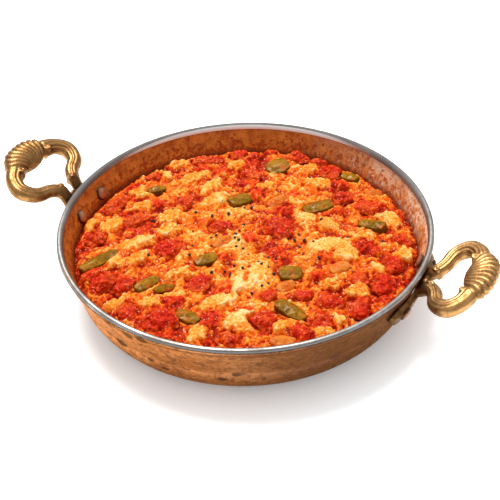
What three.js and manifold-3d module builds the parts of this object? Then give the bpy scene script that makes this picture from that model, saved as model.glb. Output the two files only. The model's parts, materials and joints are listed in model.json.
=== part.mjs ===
// Menemen, scrambled eggs with tomato and green pepper, in its two-handled copper pan.
// Millimetres, +Z up. The origin is the middle of the pan's flat base, and the handles lie along X.

import * as THREE from 'three';
import { mergeVertices } from 'three/addons/utils/BufferGeometryUtils.js';
import Module from 'manifold-3d';

const wasm = await Module();
wasm.setup();

// Pan
const RIM_RADIUS = 110;
const RIM_TOP = 46;
const RIM_WIDTH = 4;
const LIP_TOP = 43.5;
const BASE_RADIUS = 84;
const HEEL_RADIUS = 101.6; // outside radius where the rounded heel turns into the flared wall
const HEEL_HEIGHT = 22;
const HEEL_POWER = 1.176; // 1 would be an elliptical heel, and more is a slacker one
const FLARE_TOP = 44;
const WALL = 2.2;
const GAP = 0.3; // clearance between neighbouring pieces
const ROUND_SIDES = 48;

// Handles
const HANDLE_START = 108;
const HANDLE_TILT = 22.5; // degrees above level
const ARM_LEVEL = 36; // where the arms leave the plate, under the rim
const NECK = [1, 9]; // how far out the arms bend up from that level to the loop's plane
const LOOP_SIDES = 8;
const ARM_STATIONS = 10;
const GRIP_RIBS = 9;
const STATIONS_PER_RIB = 3;
const RIB_DEPTH = 0.09; // share of the grip's thickness
const RIB_SLANT = 0.9; // how far the ribs fan out towards the outside, in radians of their wave
const WEB = [6, 5, 3.6]; // half sizes of the web between the arms: out, to the side, thickness
const CURL = { out: 33.6, side: 14.4, half: [3.4, 3.4, 4.6] }; // beside each end of the grip
const PLATE_SPAN = 17.5; // degrees each side of the plate's middle
const PLATE_MIDDLE = -1.8; // along the wall, from the rivets
const PLATE_HALF_HEIGHT = 6.8;
const PLATE_THICKNESS = 4.1;
const PLATE_GAP = 0.5; // more than the other gaps, because its facets turn against the wall's

// The two castings are alike but fitted by hand. Turns round the pan, swings in the loop's own plane
// and leans about its length are in degrees, level is the plane's height at the wall, and reach is the
// loop's share of its full length.
const HANDLES = [
  {
    side: 'right', turn: 0.1, swing: 2.7, lean: 8.9, level: 37.3, reach: 0.92,
    plate: 0.5, rivets: [-11.6, 11.9],
  },
  {
    side: 'left', turn: 184.6, swing: -6.1, lean: -1.1, level: 43.8, reach: 1,
    plate: 183, rivets: [175.4, 189.8],
  },
];

// Rivets
const RIVET_HEIGHT = 32.5;
const RIVET_SIDES = 10;
const SHANK_RADIUS = 2.2;
const HEAD_RADIUS = 4.2;

// Food
const FOOD_EDGE = 27; // level where the food meets the wall
const FOOD_CROWN = 32.5; // level in the middle, without the pieces that stand proud
const FOOD_SHOULDER = 5; // the higher, the flatter the middle and the steeper the edge
const PEPPERCORN_COUNT = 34;
const PEPPERCORN_SIZE = 1.9;

// Each row is one piece as it lies, seen from above: x, y, turn in degrees, length, width, height.
const TOMATOES = [
  [-89, 3, 61, 21, 12, 10], [-84, -32, 48, 15, 14, 10], [-68, -9, 32, 19, 12, 10],
  [-37, -26, 23, 22, 17, 11], [-82, 37, 45, 12, 10, 9], [-50, 19, 31, 15, 12, 9],
  [-58, 69, 33, 25, 12, 9], [-43, 83, 22, 13, 11, 8], [-25, 60, 14, 16, 13, 9],
  [-7, 93, 7, 18, 13, 10], [7, 94, 28, 12, 9, 9], [21, 85, -7, 18, 14, 10],
  [37, 61, 14, 14, 17, 10], [52, 58, 23, 13, 13, 9], [-20, 5, 26, 18, 13, 8],
  [15, 17, 23, 22, 21, 11], [83, 38, 19, 15, 12, 9], [87, 14, 17, 16, 15, 10],
  [88, -6, 23, 16, 17, 10], [75, -8, 19, 12, 14, 9], [83, -29, 23, 17, 18, 10],
  [66, -32, 26, 15, 17, 10], [68, -47, 23, 13, 13, 9], [50, -34, 23, 16, 11, 9],
  [40, -61, 26, 15, 18, 11], [33, -42, 23, 12, 12, 9], [26, -81, 23, 15, 12, 9],
  [-13, -82, 23, 24, 19, 11], [-34, -82, 23, 12, 16, 10], [-58, -65, 88, 23, 13, 11],
  [-45, -64, 61, 18, 13, 11], [-6, -48, 101, 17, 13, 9],
];
const PEPPERS = [
  [-71, -50, 64, 27, 9, 4.5], [-34, -59, 67, 17, 8, 4.5], [-23, -59, 40, 12, 6, 4],
  [-73, 25, 44, 12, 8, 4.5], [-13, -27, 50, 15, 9, 5], [0, -75, -1, 14, 9, 5],
  [-20, 34, 57, 15, 12, 4.5], [-14, 77, 52, 15, 14, 5], [32, 86, -13, 12, 9, 5],
  [27, 46, 44, 20, 11, 4.5], [63, 43, -5, 18, 9, 5], [37, -19, 31, 14, 12, 5],
  [50, -48, -12, 20, 10, 5],
];
const ONIONS = [
  [60, -2, 43, 13, 10, 4], [51, 77, 17, 12, 7, 4], [39, -30, 59, 12, 9, 4.5],
  [55, -70, 31, 15, 9, 4], [-12, -8, 61, 12, 9, 4], [1, 42, 68, 14, 9, 4],
];
const CURDS = [
  [-58, 43, 54, 27, 12, 9], [-42, 38, 72, 18, 10, 9], [-33, 27, 68, 20, 12, 8],
  [23, 32, -35, 19, 12, 9], [49, 13, 36, 28, 14, 9], [59, 10, 83, 15, 11, 8],
  [-2, -3, 63, 26, 14, 8], [21, -26, 89, 24, 12, 9], [28, -66, 59, 22, 15, 9],
  [10, -59, 50, 22, 12, 9], [62, -18, 47, 15, 8, 9], [-75, 42, -11, 10, 10, 10],
  [-81, 19, -14, 17, 11, 9], [-72, 5, 40, 18, 9, 9], [-51, 1, 53, 17, 12, 9],
  [-45, -10, 48, 17, 11, 8], [-80, -17, 76, 18, 11, 9], [-62, -47, 54, 12, 11, 10],
  [-58, -29, 48, 18, 12, 9], [-51, -41, 57, 17, 11, 9], [5, 81, 42, 15, 12, 9],
  [19, 71, 19, 17, 11, 9], [72, 52, -39, 18, 12, 10], [90, 26, -20, 10, 10, 10],
  [78, -17, 43, 15, 9, 9], [78, -44, 23, 9, 9, 9], [52, -60, 55, 14, 9, 9],
  [10, -86, 72, 15, 10, 9], [-42, -78, 59, 14, 9, 10], [-24, -72, 59, 15, 9, 9],
  [-16, -64, 44, 15, 8, 8], [-22, -45, 44, 16, 10, 9], [73, -56, 39, 13, 8, 8],
  [-10, 22, 0, 18, 13, 7], [13, -40, 104, 20, 10, 8], [-10, 54, 51, 12, 9, 9],
  [11, 47, -40, 18, 9, 9], [39, 32, -11, 15, 12, 8], [63, 30, 45, 14, 9, 8],
  [81, 5, -30, 13, 8, 8], [-73, 59, 33, 14, 9, 8], [-39, 66, 65, 12, 10, 9],
  [60, -74, 36, 10, 7, 8], [-93, -21, 81, 13, 8, 8],
];

const COPPER = { color: 0xb5703c, roughness: 0.42, metalness: 1 };
const TIN = { color: 0xc9c4bd, roughness: 0.3, metalness: 1 };
const BRASS = { color: 0xa07c3e, roughness: 0.35, metalness: 1 };
const EGG = { color: 0xf0a04a, roughness: 0.45, metalness: 0 };
const TOMATO = { color: 0xc8230c, roughness: 0.3, metalness: 0 };
const PEPPER = { color: 0x85751a, roughness: 0.28, metalness: 0 };
const ONION = { color: 0xe08a45, roughness: 0.35, metalness: 0 };

const radians = THREE.MathUtils.degToRad;

// A repeatable random source, one for each kind of piece.
function seededRandom(seed) {
  let state = seed;
  return () => {
    state = (state + 0x6d2b79f5) | 0;
    let mixed = Math.imul(state ^ (state >>> 15), 1 | state);
    mixed = (mixed + Math.imul(mixed ^ (mixed >>> 7), 61 | mixed)) ^ mixed;
    return ((mixed ^ (mixed >>> 14)) >>> 0) / 4294967296;
  };
}

// ---- Solids ----

// Turns a closed surface into a solid: merged corners, no empty triangles, faces outward.
function toSolid(geometry) {
  const bare = geometry.clone();
  bare.deleteAttribute('normal');
  bare.deleteAttribute('uv');
  const merged = mergeVertices(bare, 1e-4);
  const index = merged.index.array;
  const triangles = [];
  for (let i = 0; i < index.length; i += 3) {
    const [a, b, c] = [index[i], index[i + 1], index[i + 2]];
    if (a !== b && b !== c && c !== a) {
      triangles.push(a, b, c);
    }
  }
  if (signedVolume(merged.attributes.position, triangles) < 0) {
    triangles.reverse();
  }
  return new wasm.Manifold(new wasm.Mesh({
    numProp: 3,
    vertProperties: new Float32Array(merged.attributes.position.array),
    triVerts: new Uint32Array(triangles),
  }));
}

function signedVolume(position, triangles) {
  const [a, b, c] = [new THREE.Vector3(), new THREE.Vector3(), new THREE.Vector3()];
  let volume = 0;
  for (let i = 0; i < triangles.length; i += 3) {
    a.fromBufferAttribute(position, triangles[i]);
    b.fromBufferAttribute(position, triangles[i + 1]);
    c.fromBufferAttribute(position, triangles[i + 2]);
    volume += a.dot(b.cross(c)) / 6;
  }
  return volume;
}

function toGeometry(solid) {
  const mesh = solid.getMesh();
  const geometry = new THREE.BufferGeometry();
  geometry.setAttribute('position', new THREE.BufferAttribute(new Float32Array(mesh.vertProperties), 3));
  geometry.setIndex(new THREE.BufferAttribute(new Uint32Array(mesh.triVerts), 1));
  geometry.computeVertexNormals();
  return geometry;
}

// The largest of the lumps that a cut leaves.
function largestLump(solid) {
  return solid.decompose().reduce((best, lump) => (lump.volume() > best.volume() ? lump : best));
}

// Revolves a profile of [radius, height] points round Z.
function revolve(profile, sides = ROUND_SIDES) {
  const points = profile.map(([radius, height]) => new THREE.Vector2(radius, height));
  return new THREE.LatheGeometry(points, sides).rotateX(Math.PI / 2);
}

// Skins rings of points that all have the same number of corners, and caps both ends.
function skin(rings) {
  const corners = rings[0].length;
  const points = rings.flat();
  const index = [];
  for (let ring = 0; ring < rings.length - 1; ring++) {
    for (let corner = 0; corner < corners; corner++) {
      const a = ring * corners + corner;
      const b = ring * corners + ((corner + 1) % corners);
      index.push(a, b, a + corners, b, b + corners, a + corners);
    }
  }
  const lastRing = (rings.length - 1) * corners;
  for (let corner = 1; corner < corners - 1; corner++) {
    index.push(0, corner + 1, corner);
    index.push(lastRing, lastRing + corner, lastRing + corner + 1);
  }
  return new THREE.BufferGeometry().setFromPoints(points).setIndex(index);
}

// ---- Pan ----

// The outside of the wall from the edge of the flat base up to a level, as [radius, height].
function wallProfile(top) {
  const steps = 4;
  const profile = [];
  for (let step = 0; step <= steps; step++) {
    const angle = (Math.PI / 2) * (step / steps);
    profile.push([
      BASE_RADIUS + (HEEL_RADIUS - BASE_RADIUS) * Math.sin(angle) ** HEEL_POWER,
      HEEL_HEIGHT * (1 - Math.abs(Math.cos(angle)) ** HEEL_POWER),
    ]);
  }
  profile.push([wallRadius(top), top]);
  return profile;
}

// Outside radius of the flared part of the wall.
function wallRadius(height) {
  return THREE.MathUtils.mapLinear(height, HEEL_HEIGHT, FLARE_TOP, HEEL_RADIUS, RIM_RADIUS);
}

// Angle between the flared wall and upright.
const FLARE_ANGLE = Math.atan2(RIM_RADIUS - HEEL_RADIUS, FLARE_TOP - HEEL_HEIGHT);

// The wall's profile moved inwards, square to itself, keeping its top level.
function insetProfile(top, distance) {
  const outer = wallProfile(top);
  const inset = outer.slice(0, -1).map(([radius, height], i) => {
    const before = i === 0 ? [radius - 1, height] : outer[i - 1];
    const along = [outer[i + 1][0] - before[0], outer[i + 1][1] - before[1]];
    const size = Math.hypot(...along);
    return [radius - (distance * along[1]) / size, height + (distance * along[0]) / size];
  });
  inset[0][1] = distance;
  inset.push([wallRadius(top) - distance / Math.cos(FLARE_ANGLE), top]);
  return inset;
}

function panShell() {
  const outside = wallProfile(LIP_TOP);
  const inside = insetProfile(LIP_TOP, WALL).reverse();
  return toSolid(revolve([[0, 0], ...outside, ...inside, [0, WALL]]));
}

// A rolled bead over the lip, with a short skirt inside it.
function tinnedRim() {
  const outer = RIM_RADIUS;
  const inner = RIM_RADIUS - RIM_WIDTH;
  const seat = LIP_TOP + GAP;
  const skirt = wallRadius(LIP_TOP) - WALL / Math.cos(FLARE_ANGLE) - 2 * GAP;
  return toSolid(revolve([
    [outer - 0.3, seat],
    [outer - 0.3, RIM_TOP - 0.7],
    [outer - 1.6, RIM_TOP],
    [inner + 0.6, RIM_TOP - 0.5],
    [inner, LIP_TOP - 0.8],
    [skirt, LIP_TOP - 0.8],
    [skirt, seat],
    [outer - 0.3, seat],
  ]));
}

// ---- Rivets ----

// Turns a shape that points along +Z so that it points square out of the wall at a rivet.
function rivetPlace(angle) {
  const radius = wallRadius(RIVET_HEIGHT);
  const place = new THREE.Matrix4().makeRotationZ(angle);
  place.multiply(new THREE.Matrix4().makeTranslation(radius, 0, RIVET_HEIGHT));
  place.multiply(new THREE.Matrix4().makeRotationY(Math.PI / 2 + FLARE_ANGLE));
  return place;
}

// A domed head inside the pan, a shank through wall and plate, and a flatter head outside, all grown
// by a clearance.
function rivetShape(angle, grow) {
  const insideSeat = -(WALL + 2 * GAP) + grow;
  const outsideSeat = PLATE_GAP + PLATE_THICKNESS + GAP - grow;
  const head = HEAD_RADIUS + grow;
  const shank = SHANK_RADIUS + grow;
  const profile = [
    [0, insideSeat - 2.1 - 2 * grow],
    [0.65 * head, insideSeat - 1.7 - 2 * grow],
    [head, insideSeat - 2 * grow],
    [head, insideSeat],
    [shank, insideSeat],
    [shank, outsideSeat],
    [head, outsideSeat],
    [head, outsideSeat + 2 * grow],
    [0.7 * head, outsideSeat + 1.1 + 2 * grow],
    [0, outsideSeat + 1.4 + 2 * grow],
  ];
  return toSolid(revolve(profile, RIVET_SIDES).applyMatrix4(rivetPlace(angle)));
}

function rivetShank(angle) {
  const reach = 9;
  const hole = SHANK_RADIUS + GAP;
  const profile = [[0, -reach], [hole, -reach], [hole, reach], [0, reach]];
  return toSolid(revolve(profile, RIVET_SIDES).applyMatrix4(rivetPlace(angle)));
}

// ---- Handles ----

// Half of the loop, from the plate to the middle of the grip: how far out, how far to the side,
// half of the width in the loop's plane and half of the thickness.
const LOOP_HALF = [
  [-6, 6.8, 4.6, 3.9], [2.3, 6.5, 4.4, 3.9], [9.1, 8, 4.3, 3.9], [13.2, 12, 4.3, 3.9],
  [17.5, 21.4, 4.8, 4.3], [25.7, 25.4, 5.4, 4.8], [32.6, 21.9, 5.3, 4.7], [36.5, 15.2, 6, 4.8],
  [40, 7, 8.4, 5], [40.2, 0, 9, 5.2],
];
const GRIP_START = 0.395; // share of the loop's length before the grip

// A point of a handle's own plane, placed on the pan: out along X, tilted up from the wall. Near the
// wall the plane bends down.
function onLoop({ swing, lean, level }, out, side, lift) {
  const tilt = radians(HANDLE_TILT);
  const across = new THREE.Vector2(out, side).rotateAround(new THREE.Vector2(), radians(swing));
  const bend = (level - ARM_LEVEL) * (1 - THREE.MathUtils.smoothstep(across.x, ...NECK));
  const point = new THREE.Vector3(
    across.x * Math.cos(tilt) - lift * Math.sin(tilt),
    across.y,
    across.x * Math.sin(tilt) + lift * Math.cos(tilt) - bend,
  );
  point.applyAxisAngle(new THREE.Vector3(1, 0, 0), radians(lean));
  return point.add(new THREE.Vector3(HANDLE_START, 0, level));
}

function loopStations() {
  const stations = [];
  for (let i = 0; i < ARM_STATIONS; i++) {
    stations.push((GRIP_START * i) / ARM_STATIONS);
  }
  const gripSteps = GRIP_RIBS * STATIONS_PER_RIB;
  for (let i = 0; i <= gripSteps; i++) {
    stations.push(THREE.MathUtils.lerp(GRIP_START, 1 - GRIP_START, i / gripSteps));
  }
  for (let i = 1; i <= ARM_STATIONS; i++) {
    stations.push(1 - GRIP_START + (GRIP_START * i) / ARM_STATIONS);
  }
  return stations.map((along) => ({
    along,
    onGrip: THREE.MathUtils.mapLinear(along, GRIP_START, 1 - GRIP_START, 0, 1),
  }));
}

// The closed loop: two arms that swell into ears and meet at a grip with ribs like a fan's.
function handleLoop(handle) {
  const rows = [...LOOP_HALF, ...LOOP_HALF.slice(0, -1).reverse().map(([u, v, w, t]) => [u, -v, w, t])];
  const centre = new THREE.CatmullRomCurve3(rows.map(([u, v]) => new THREE.Vector3(u, v, 0)));
  const size = new THREE.CatmullRomCurve3(rows.map((row) => new THREE.Vector3(row[2], row[3], 0)));
  const rings = loopStations().map(({ along, onGrip }) => {
    const middle = centre.getPoint(along).multiplyScalar(handle.reach);
    const ahead = centre.getTangent(along);
    const section = size.getPoint(along);
    const ribbed = onGrip > 0 && onGrip < 1;
    return Array.from({ length: LOOP_SIDES }, (_, corner) => {
      const turn = (2 * Math.PI * corner) / LOOP_SIDES;
      const wave = ribbed ? Math.cos(2 * Math.PI * GRIP_RIBS * onGrip + RIB_SLANT * Math.cos(turn)) : 0;
      const swell = 1 + RIB_DEPTH * wave;
      const sideways = section.x * swell * Math.cos(turn);
      return onLoop(
        handle,
        middle.x - ahead.y * sideways,
        middle.y + ahead.x * sideways,
        section.y * swell * Math.sin(turn),
      );
    });
  });
  return toSolid(skin(rings));
}

// A point near the flared wall at the rivets' level: round the pan, up the wall and out from it.
function onWall(angle, up, outward) {
  const radius = wallRadius(RIVET_HEIGHT) + up * Math.sin(FLARE_ANGLE) + outward * Math.cos(FLARE_ANGLE);
  const height = RIVET_HEIGHT + up * Math.cos(FLARE_ANGLE) - outward * Math.sin(FLARE_ANGLE);
  return new THREE.Vector3(radius * Math.cos(angle), radius * Math.sin(angle), height);
}

// The plate that lies along the wall under the rim, with rounded ends.
function handlePlate() {
  const bevel = 1.2;
  const facet = 360 / ROUND_SIDES;
  const stations = [-PLATE_SPAN, -2 * facet, -facet, 0, facet, 2 * facet, PLATE_SPAN];
  const rings = stations.map((station) => {
    const share = Math.abs(station) / PLATE_SPAN;
    const half = Math.max(PLATE_HALF_HEIGHT * (1 - share ** 3) ** (1 / 3), 2 * bevel);
    const section = [
      [-half, 0], [-half, PLATE_THICKNESS - bevel], [-half + bevel, PLATE_THICKNESS],
      [half - bevel, PLATE_THICKNESS], [half, PLATE_THICKNESS - bevel], [half, 0],
    ];
    return section.map(([up, outward]) => onWall(radians(station), PLATE_MIDDLE + up, outward + PLATE_GAP));
  });
  return toSolid(skin(rings));
}

// A smooth knob on the loop, such as the web between the arms or the curl beside the grip.
function handleKnob(handle, out, side, [halfOut, halfSide, halfLift]) {
  const ball = new THREE.OctahedronGeometry(1, 1);
  const position = ball.attributes.position;
  for (let i = 0; i < position.count; i++) {
    const placed = onLoop(
      handle,
      handle.reach * out + halfOut * position.getX(i),
      handle.reach * side + halfSide * position.getY(i),
      halfLift * position.getZ(i),
    );
    position.setXYZ(i, placed.x, placed.y, placed.z);
  }
  return toSolid(ball);
}

// The loop with its web and curls, its arms cut off along the wall.
function handleArms(handle) {
  const wall = onWall(0, 0, PLATE_GAP);
  const outward = onWall(0, 0, PLATE_GAP + 1).sub(wall);
  let solid = handleLoop(handle).add(handleKnob(handle, 0, 0, WEB));
  for (const side of [-1, 1]) {
    solid = solid.add(handleKnob(handle, CURL.out, side * CURL.side, CURL.half));
  }
  return solid.trimByPlane(outward.toArray(), wall.dot(outward));
}

// ---- Food ----

// Level of the bare food at a distance from the middle.
function foodLevel(radius) {
  const share = Math.min(radius / wallRadius(FOOD_EDGE), 1);
  return THREE.MathUtils.lerp(FOOD_CROWN, FOOD_EDGE, share ** FOOD_SHOULDER);
}

// The bare food under its pieces: a low dome that fills the pan.
function foodCore() {
  const side = insetProfile(FOOD_EDGE, WALL + GAP).filter((_, i) => i !== 1);
  const shoulder = side[side.length - 1][0];
  const crown = [0.9, 0.72, 0.4, 0].map((share) => [share * shoulder, foodLevel(share * shoulder)]);
  return toSolid(revolve([[0, WALL + GAP], ...side, ...crown]));
}

// Cuts off what would sink into the core under a piece: a flat underside along the dome.
function restOnCore(solid, x, y) {
  const radius = Math.hypot(x, y);
  const slope = (foodLevel(radius + 1) - foodLevel(radius - 1)) / 2;
  const up = new THREE.Vector3((-slope * x) / radius, (-slope * y) / radius, 1).normalize();
  const onDome = new THREE.Vector3(x, y, foodLevel(radius) + GAP);
  return solid.trimByPlane(up.toArray(), up.dot(onDome));
}

// The space inside the pan that food can fill, up to the rim.
function panHollow() {
  const side = insetProfile(RIM_TOP, WALL + 1.5 * GAP);
  return toSolid(revolve([[0, WALL + GAP], ...side, [0, RIM_TOP]]));
}

// An uneven lump of unit size: a many-sided ball whose corners are pushed in and out.
function lumpCorners(ball, random, roughness) {
  ball.deleteAttribute('normal');
  ball.deleteAttribute('uv');
  const merged = mergeVertices(ball, 1e-4);
  const position = merged.attributes.position;
  for (let i = 0; i < position.count; i++) {
    const push = 1 + roughness * (2 * random() - 1);
    position.setXYZ(i, position.getX(i) * push, position.getY(i) * push, position.getZ(i) * push);
  }
  return merged;
}

// Scales a lump to its length, width and height, each grown by a clearance all round. Its upper
// half can be stretched up, so that nothing closes over what lies in its bed.
function lump(corners, [, , , length, width, height], grow, stretch) {
  const sized = corners.clone().scale(length / 2 + grow, width / 2 + grow, height / 2 + grow);
  const position = sized.attributes.position;
  for (let i = 0; i < position.count; i++) {
    if (position.getZ(i) > 0) {
      position.setZ(i, position.getZ(i) + stretch);
    }
  }
  return sized;
}

// A curved piece of pepper or onion wall: a small tile with rounded corners, arched across.
function tile([, , , length, width, thickness], arch, grow, stretch) {
  const [columns, rows] = [3, 2];
  const point = (column, row, face) => {
    const along = (2 * column) / columns - 1;
    const across = (2 * row) / rows - 1;
    const x = (length / 2 + grow) * along * (1 - 0.12 * across ** 2);
    const y = (width / 2 + grow) * across * (1 - 0.28 * along ** 2);
    const drop = arch * ((2 * y) / width) ** 2 + 0.5 * arch * ((2 * x) / length) ** 2;
    return new THREE.Vector3(x, y, face * (thickness / 2 + grow) + (face > 0 ? stretch : 0) - drop);
  };
  const points = [];
  for (const face of [-1, 1]) {
    for (let row = 0; row <= rows; row++) {
      for (let column = 0; column <= columns; column++) {
        points.push(point(column, row, face));
      }
    }
  }
  const layer = (columns + 1) * (rows + 1);
  const at = (column, row, face) => face * layer + row * (columns + 1) + column;
  const index = [];
  const quad = (a, b, c, d) => index.push(a, b, c, a, c, d);
  for (let row = 0; row < rows; row++) {
    for (let column = 0; column < columns; column++) {
      quad(at(column, row, 1), at(column + 1, row, 1), at(column + 1, row + 1, 1), at(column, row + 1, 1));
      quad(at(column, row, 0), at(column, row + 1, 0), at(column + 1, row + 1, 0), at(column + 1, row, 0));
    }
  }
  for (let column = 0; column < columns; column++) {
    quad(at(column, 0, 0), at(column + 1, 0, 0), at(column + 1, 0, 1), at(column, 0, 1));
    quad(at(column + 1, rows, 0), at(column, rows, 0), at(column, rows, 1), at(column + 1, rows, 1));
  }
  for (let row = 0; row < rows; row++) {
    quad(at(0, row + 1, 0), at(0, row, 0), at(0, row, 1), at(0, row + 1, 1));
    quad(at(columns, row, 0), at(columns, row + 1, 0), at(columns, row + 1, 1), at(columns, row, 1));
  }
  return new THREE.BufferGeometry().setFromPoints(points).setIndex(index);
}

// Where a piece lies: turned, slightly tipped, and raised on the food's level.
function piecePlace([x, y, turn], raise, tip, random) {
  const place = new THREE.Matrix4().makeTranslation(x, y, foodLevel(Math.hypot(x, y)) + raise);
  place.multiply(new THREE.Matrix4().makeRotationZ(radians(turn)));
  place.multiply(new THREE.Matrix4().makeRotationX(radians(tip * (2 * random() - 1))));
  place.multiply(new THREE.Matrix4().makeRotationY(radians(tip * (2 * random() - 1))));
  return place;
}

// One kind of topping: its solids, and for each the bed that its neighbours leave free.
function toppings(name, rows, { raise, tip, seed, shape }) {
  const random = seededRandom(seed);
  const clearAbove = 15;
  return rows.map((row, i) => {
    const form = shape(row, random);
    const place = piecePlace(row, raise, tip, random);
    const placed = (grow, stretch) => toSolid(form(grow, stretch).applyMatrix4(place));
    return {
      name: `${name}_${String(i + 1).padStart(2, '0')}`,
      solid: restOnCore(placed(0, 0), row[0], row[1]),
      bed: placed(1.3 * GAP, 0).add(placed(1.3 * GAP, clearAbove)),
    };
  });
}

function lumpShape(roughness) {
  return (row, random) => {
    const corners = lumpCorners(new THREE.IcosahedronGeometry(1, 1), random, roughness);
    return (grow, stretch) => lump(corners, row, grow, stretch);
  };
}

function tileShape(arch) {
  return (row) => (grow, stretch) => tile(row, arch, grow, stretch);
}

// Coarse pepper, fused to the food where no topping lies: spread evenly, denser in the middle.
function peppercorns(toppingRows) {
  const random = seededRandom(71);
  const spots = [];
  let tries = 0;
  while (spots.length < PEPPERCORN_COUNT && tries < 4000) {
    tries += 1;
    const radius = 62 * Math.sqrt(random());
    const angle = 2 * Math.PI * random();
    const spot = [radius * Math.cos(angle), radius * Math.sin(angle)];
    const apart = (other, reach) => Math.hypot(spot[0] - other[0], spot[1] - other[1]) > reach;
    if (spots.every((other) => apart(other, 7)) && toppingRows.every((row) => apart(row, row[3] / 2 + 3))) {
      spots.push(spot);
    }
  }
  return spots;
}

// Sets a peppercorn on the highest curd or the core at a spot.
function peppercorn([x, y], surface) {
  const ball = new THREE.OctahedronGeometry(PEPPERCORN_SIZE / 2, 0);
  ball.translate(x, y, surface(x, y) + 0.25 * PEPPERCORN_SIZE);
  return toSolid(ball);
}

// Height of the food's top at a spot, with the curds on it.
function curdSurface(x, y) {
  let top = foodLevel(Math.hypot(x, y));
  for (const [cx, cy, turn, length, width, height] of CURDS) {
    const angle = radians(turn);
    const along = (x - cx) * Math.cos(angle) + (y - cy) * Math.sin(angle);
    const across = (y - cy) * Math.cos(angle) - (x - cx) * Math.sin(angle);
    const inside = 1 - (2 * along / length) ** 2 - (2 * across / width) ** 2;
    if (inside > 0) {
      top = Math.max(top, foodLevel(Math.hypot(cx, cy)) + (height / 2) * Math.sqrt(inside));
    }
  }
  return top;
}

// The scrambled egg: the core with its curds and peppercorns fused on, clear of the toppings' beds
// and inside the pan's space.
function eggHeap(beds, space) {
  const random = seededRandom(5);
  let heap = foodCore();
  for (const row of CURDS) {
    const corners = lumpCorners(new THREE.OctahedronGeometry(1, 1), random, 0.1);
    let curd = toSolid(lump(corners, row, 0, 0).applyMatrix4(piecePlace(row, 0, 8, random)));
    for (const bed of beds) {
      curd = curd.subtract(bed);
    }
    heap = heap.add(curd.intersect(space));
  }
  for (const spot of peppercorns([...TOMATOES, ...PEPPERS, ...ONIONS])) {
    heap = heap.add(peppercorn(spot, curdSurface));
  }
  return largestLump(heap);
}

// ---- Object ----

const group = new THREE.Group();

function place(name, solid, finish) {
  const mesh = new THREE.Mesh(toGeometry(solid), new THREE.MeshStandardMaterial(finish));
  mesh.name = name;
  group.add(mesh);
}

// Every rivet's name and its angle round the pan.
const RIVETS = HANDLES.flatMap(({ side, rivets }) => rivets.map((turn, i) => ({
  name: `rivet_${side}_${'ab'[i]}`,
  angle: radians(turn),
})));

function addPan() {
  const shell = RIVETS.reduce((solid, { angle }) => solid.subtract(rivetShank(angle)), panShell());
  place('pan_body', shell, COPPER);
  place('pan_rim', tinnedRim(), TIN);
}

function addHandles() {
  const plate = handlePlate();
  for (const handle of HANDLES) {
    const arms = handleArms(handle).rotate([0, 0, handle.turn]);
    const casting = arms.add(plate.rotate([0, 0, handle.plate]));
    const seated = RIVETS.reduce((solid, { angle }) => solid.subtract(rivetShape(angle, 0.8 * GAP)), casting);
    place(`handle_${handle.side}`, largestLump(seated), BRASS);
  }
  for (const { name, angle } of RIVETS) {
    place(name, rivetShape(angle, 0), COPPER);
  }
}

function addFood() {
  const space = panHollow();
  const rivets = RIVETS.map(({ angle }) => rivetShape(angle, GAP));
  const kinds = [
    [PEPPER, toppings('green_pepper', PEPPERS, { raise: 2.2, tip: 14, seed: 11, shape: tileShape(1.6) })],
    [ONION, toppings('onion', ONIONS, { raise: 1.8, tip: 10, seed: 23, shape: tileShape(2) })],
    [TOMATO, toppings('tomato', TOMATOES, { raise: 0.1, tip: 9, seed: 37, shape: lumpShape(0.12) })],
  ];
  const beds = [];
  for (const [finish, pieces] of kinds) {
    for (const { name, solid, bed } of pieces) {
      let trimmed = solid.intersect(space);
      for (const cutter of [...beds, ...rivets]) {
        trimmed = trimmed.subtract(cutter);
      }
      place(name, largestLump(trimmed), finish);
      beds.push(bed);
    }
  }
  place('menemen', eggHeap([...beds, ...rivets], space), EGG);
}

addPan();
addHandles();
addFood();

export default group;
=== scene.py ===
import json
import math

import bmesh
import bpy
import numpy as np
from bpy.props import FloatProperty, FloatVectorProperty, IntProperty, PointerProperty
from mathutils import Euler, Matrix, Vector, kdtree, noise
from mathutils.bvhtree import BVHTree

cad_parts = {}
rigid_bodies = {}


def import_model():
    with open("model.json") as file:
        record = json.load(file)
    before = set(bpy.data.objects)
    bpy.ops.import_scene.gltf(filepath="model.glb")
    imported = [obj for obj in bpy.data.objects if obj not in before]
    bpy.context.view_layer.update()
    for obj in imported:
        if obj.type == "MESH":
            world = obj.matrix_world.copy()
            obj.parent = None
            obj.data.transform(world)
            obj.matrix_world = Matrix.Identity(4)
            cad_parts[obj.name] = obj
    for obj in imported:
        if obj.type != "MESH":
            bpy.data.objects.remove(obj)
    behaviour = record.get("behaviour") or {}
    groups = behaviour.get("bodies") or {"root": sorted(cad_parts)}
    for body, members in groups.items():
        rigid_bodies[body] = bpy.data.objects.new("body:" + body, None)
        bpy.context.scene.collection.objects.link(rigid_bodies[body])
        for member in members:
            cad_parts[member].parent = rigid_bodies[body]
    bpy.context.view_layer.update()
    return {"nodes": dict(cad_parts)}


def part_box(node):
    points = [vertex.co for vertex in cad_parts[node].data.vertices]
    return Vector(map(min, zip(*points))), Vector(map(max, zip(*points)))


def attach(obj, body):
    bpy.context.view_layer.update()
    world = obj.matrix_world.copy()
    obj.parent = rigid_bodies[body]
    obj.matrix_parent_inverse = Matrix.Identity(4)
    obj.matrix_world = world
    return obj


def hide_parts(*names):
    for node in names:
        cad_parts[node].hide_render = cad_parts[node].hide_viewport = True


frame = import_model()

bl_info = {
    "name": "Menemen in its copper pan",
    "version": (1, 0, 0),
    "blender": (4, 5, 0),
    "location": "View3D > Sidebar > Menemen",
    "description": "Builds menemen in a two-handled copper pan round the packed frame",
    "category": "Object",
}

MM = 0.001
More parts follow.
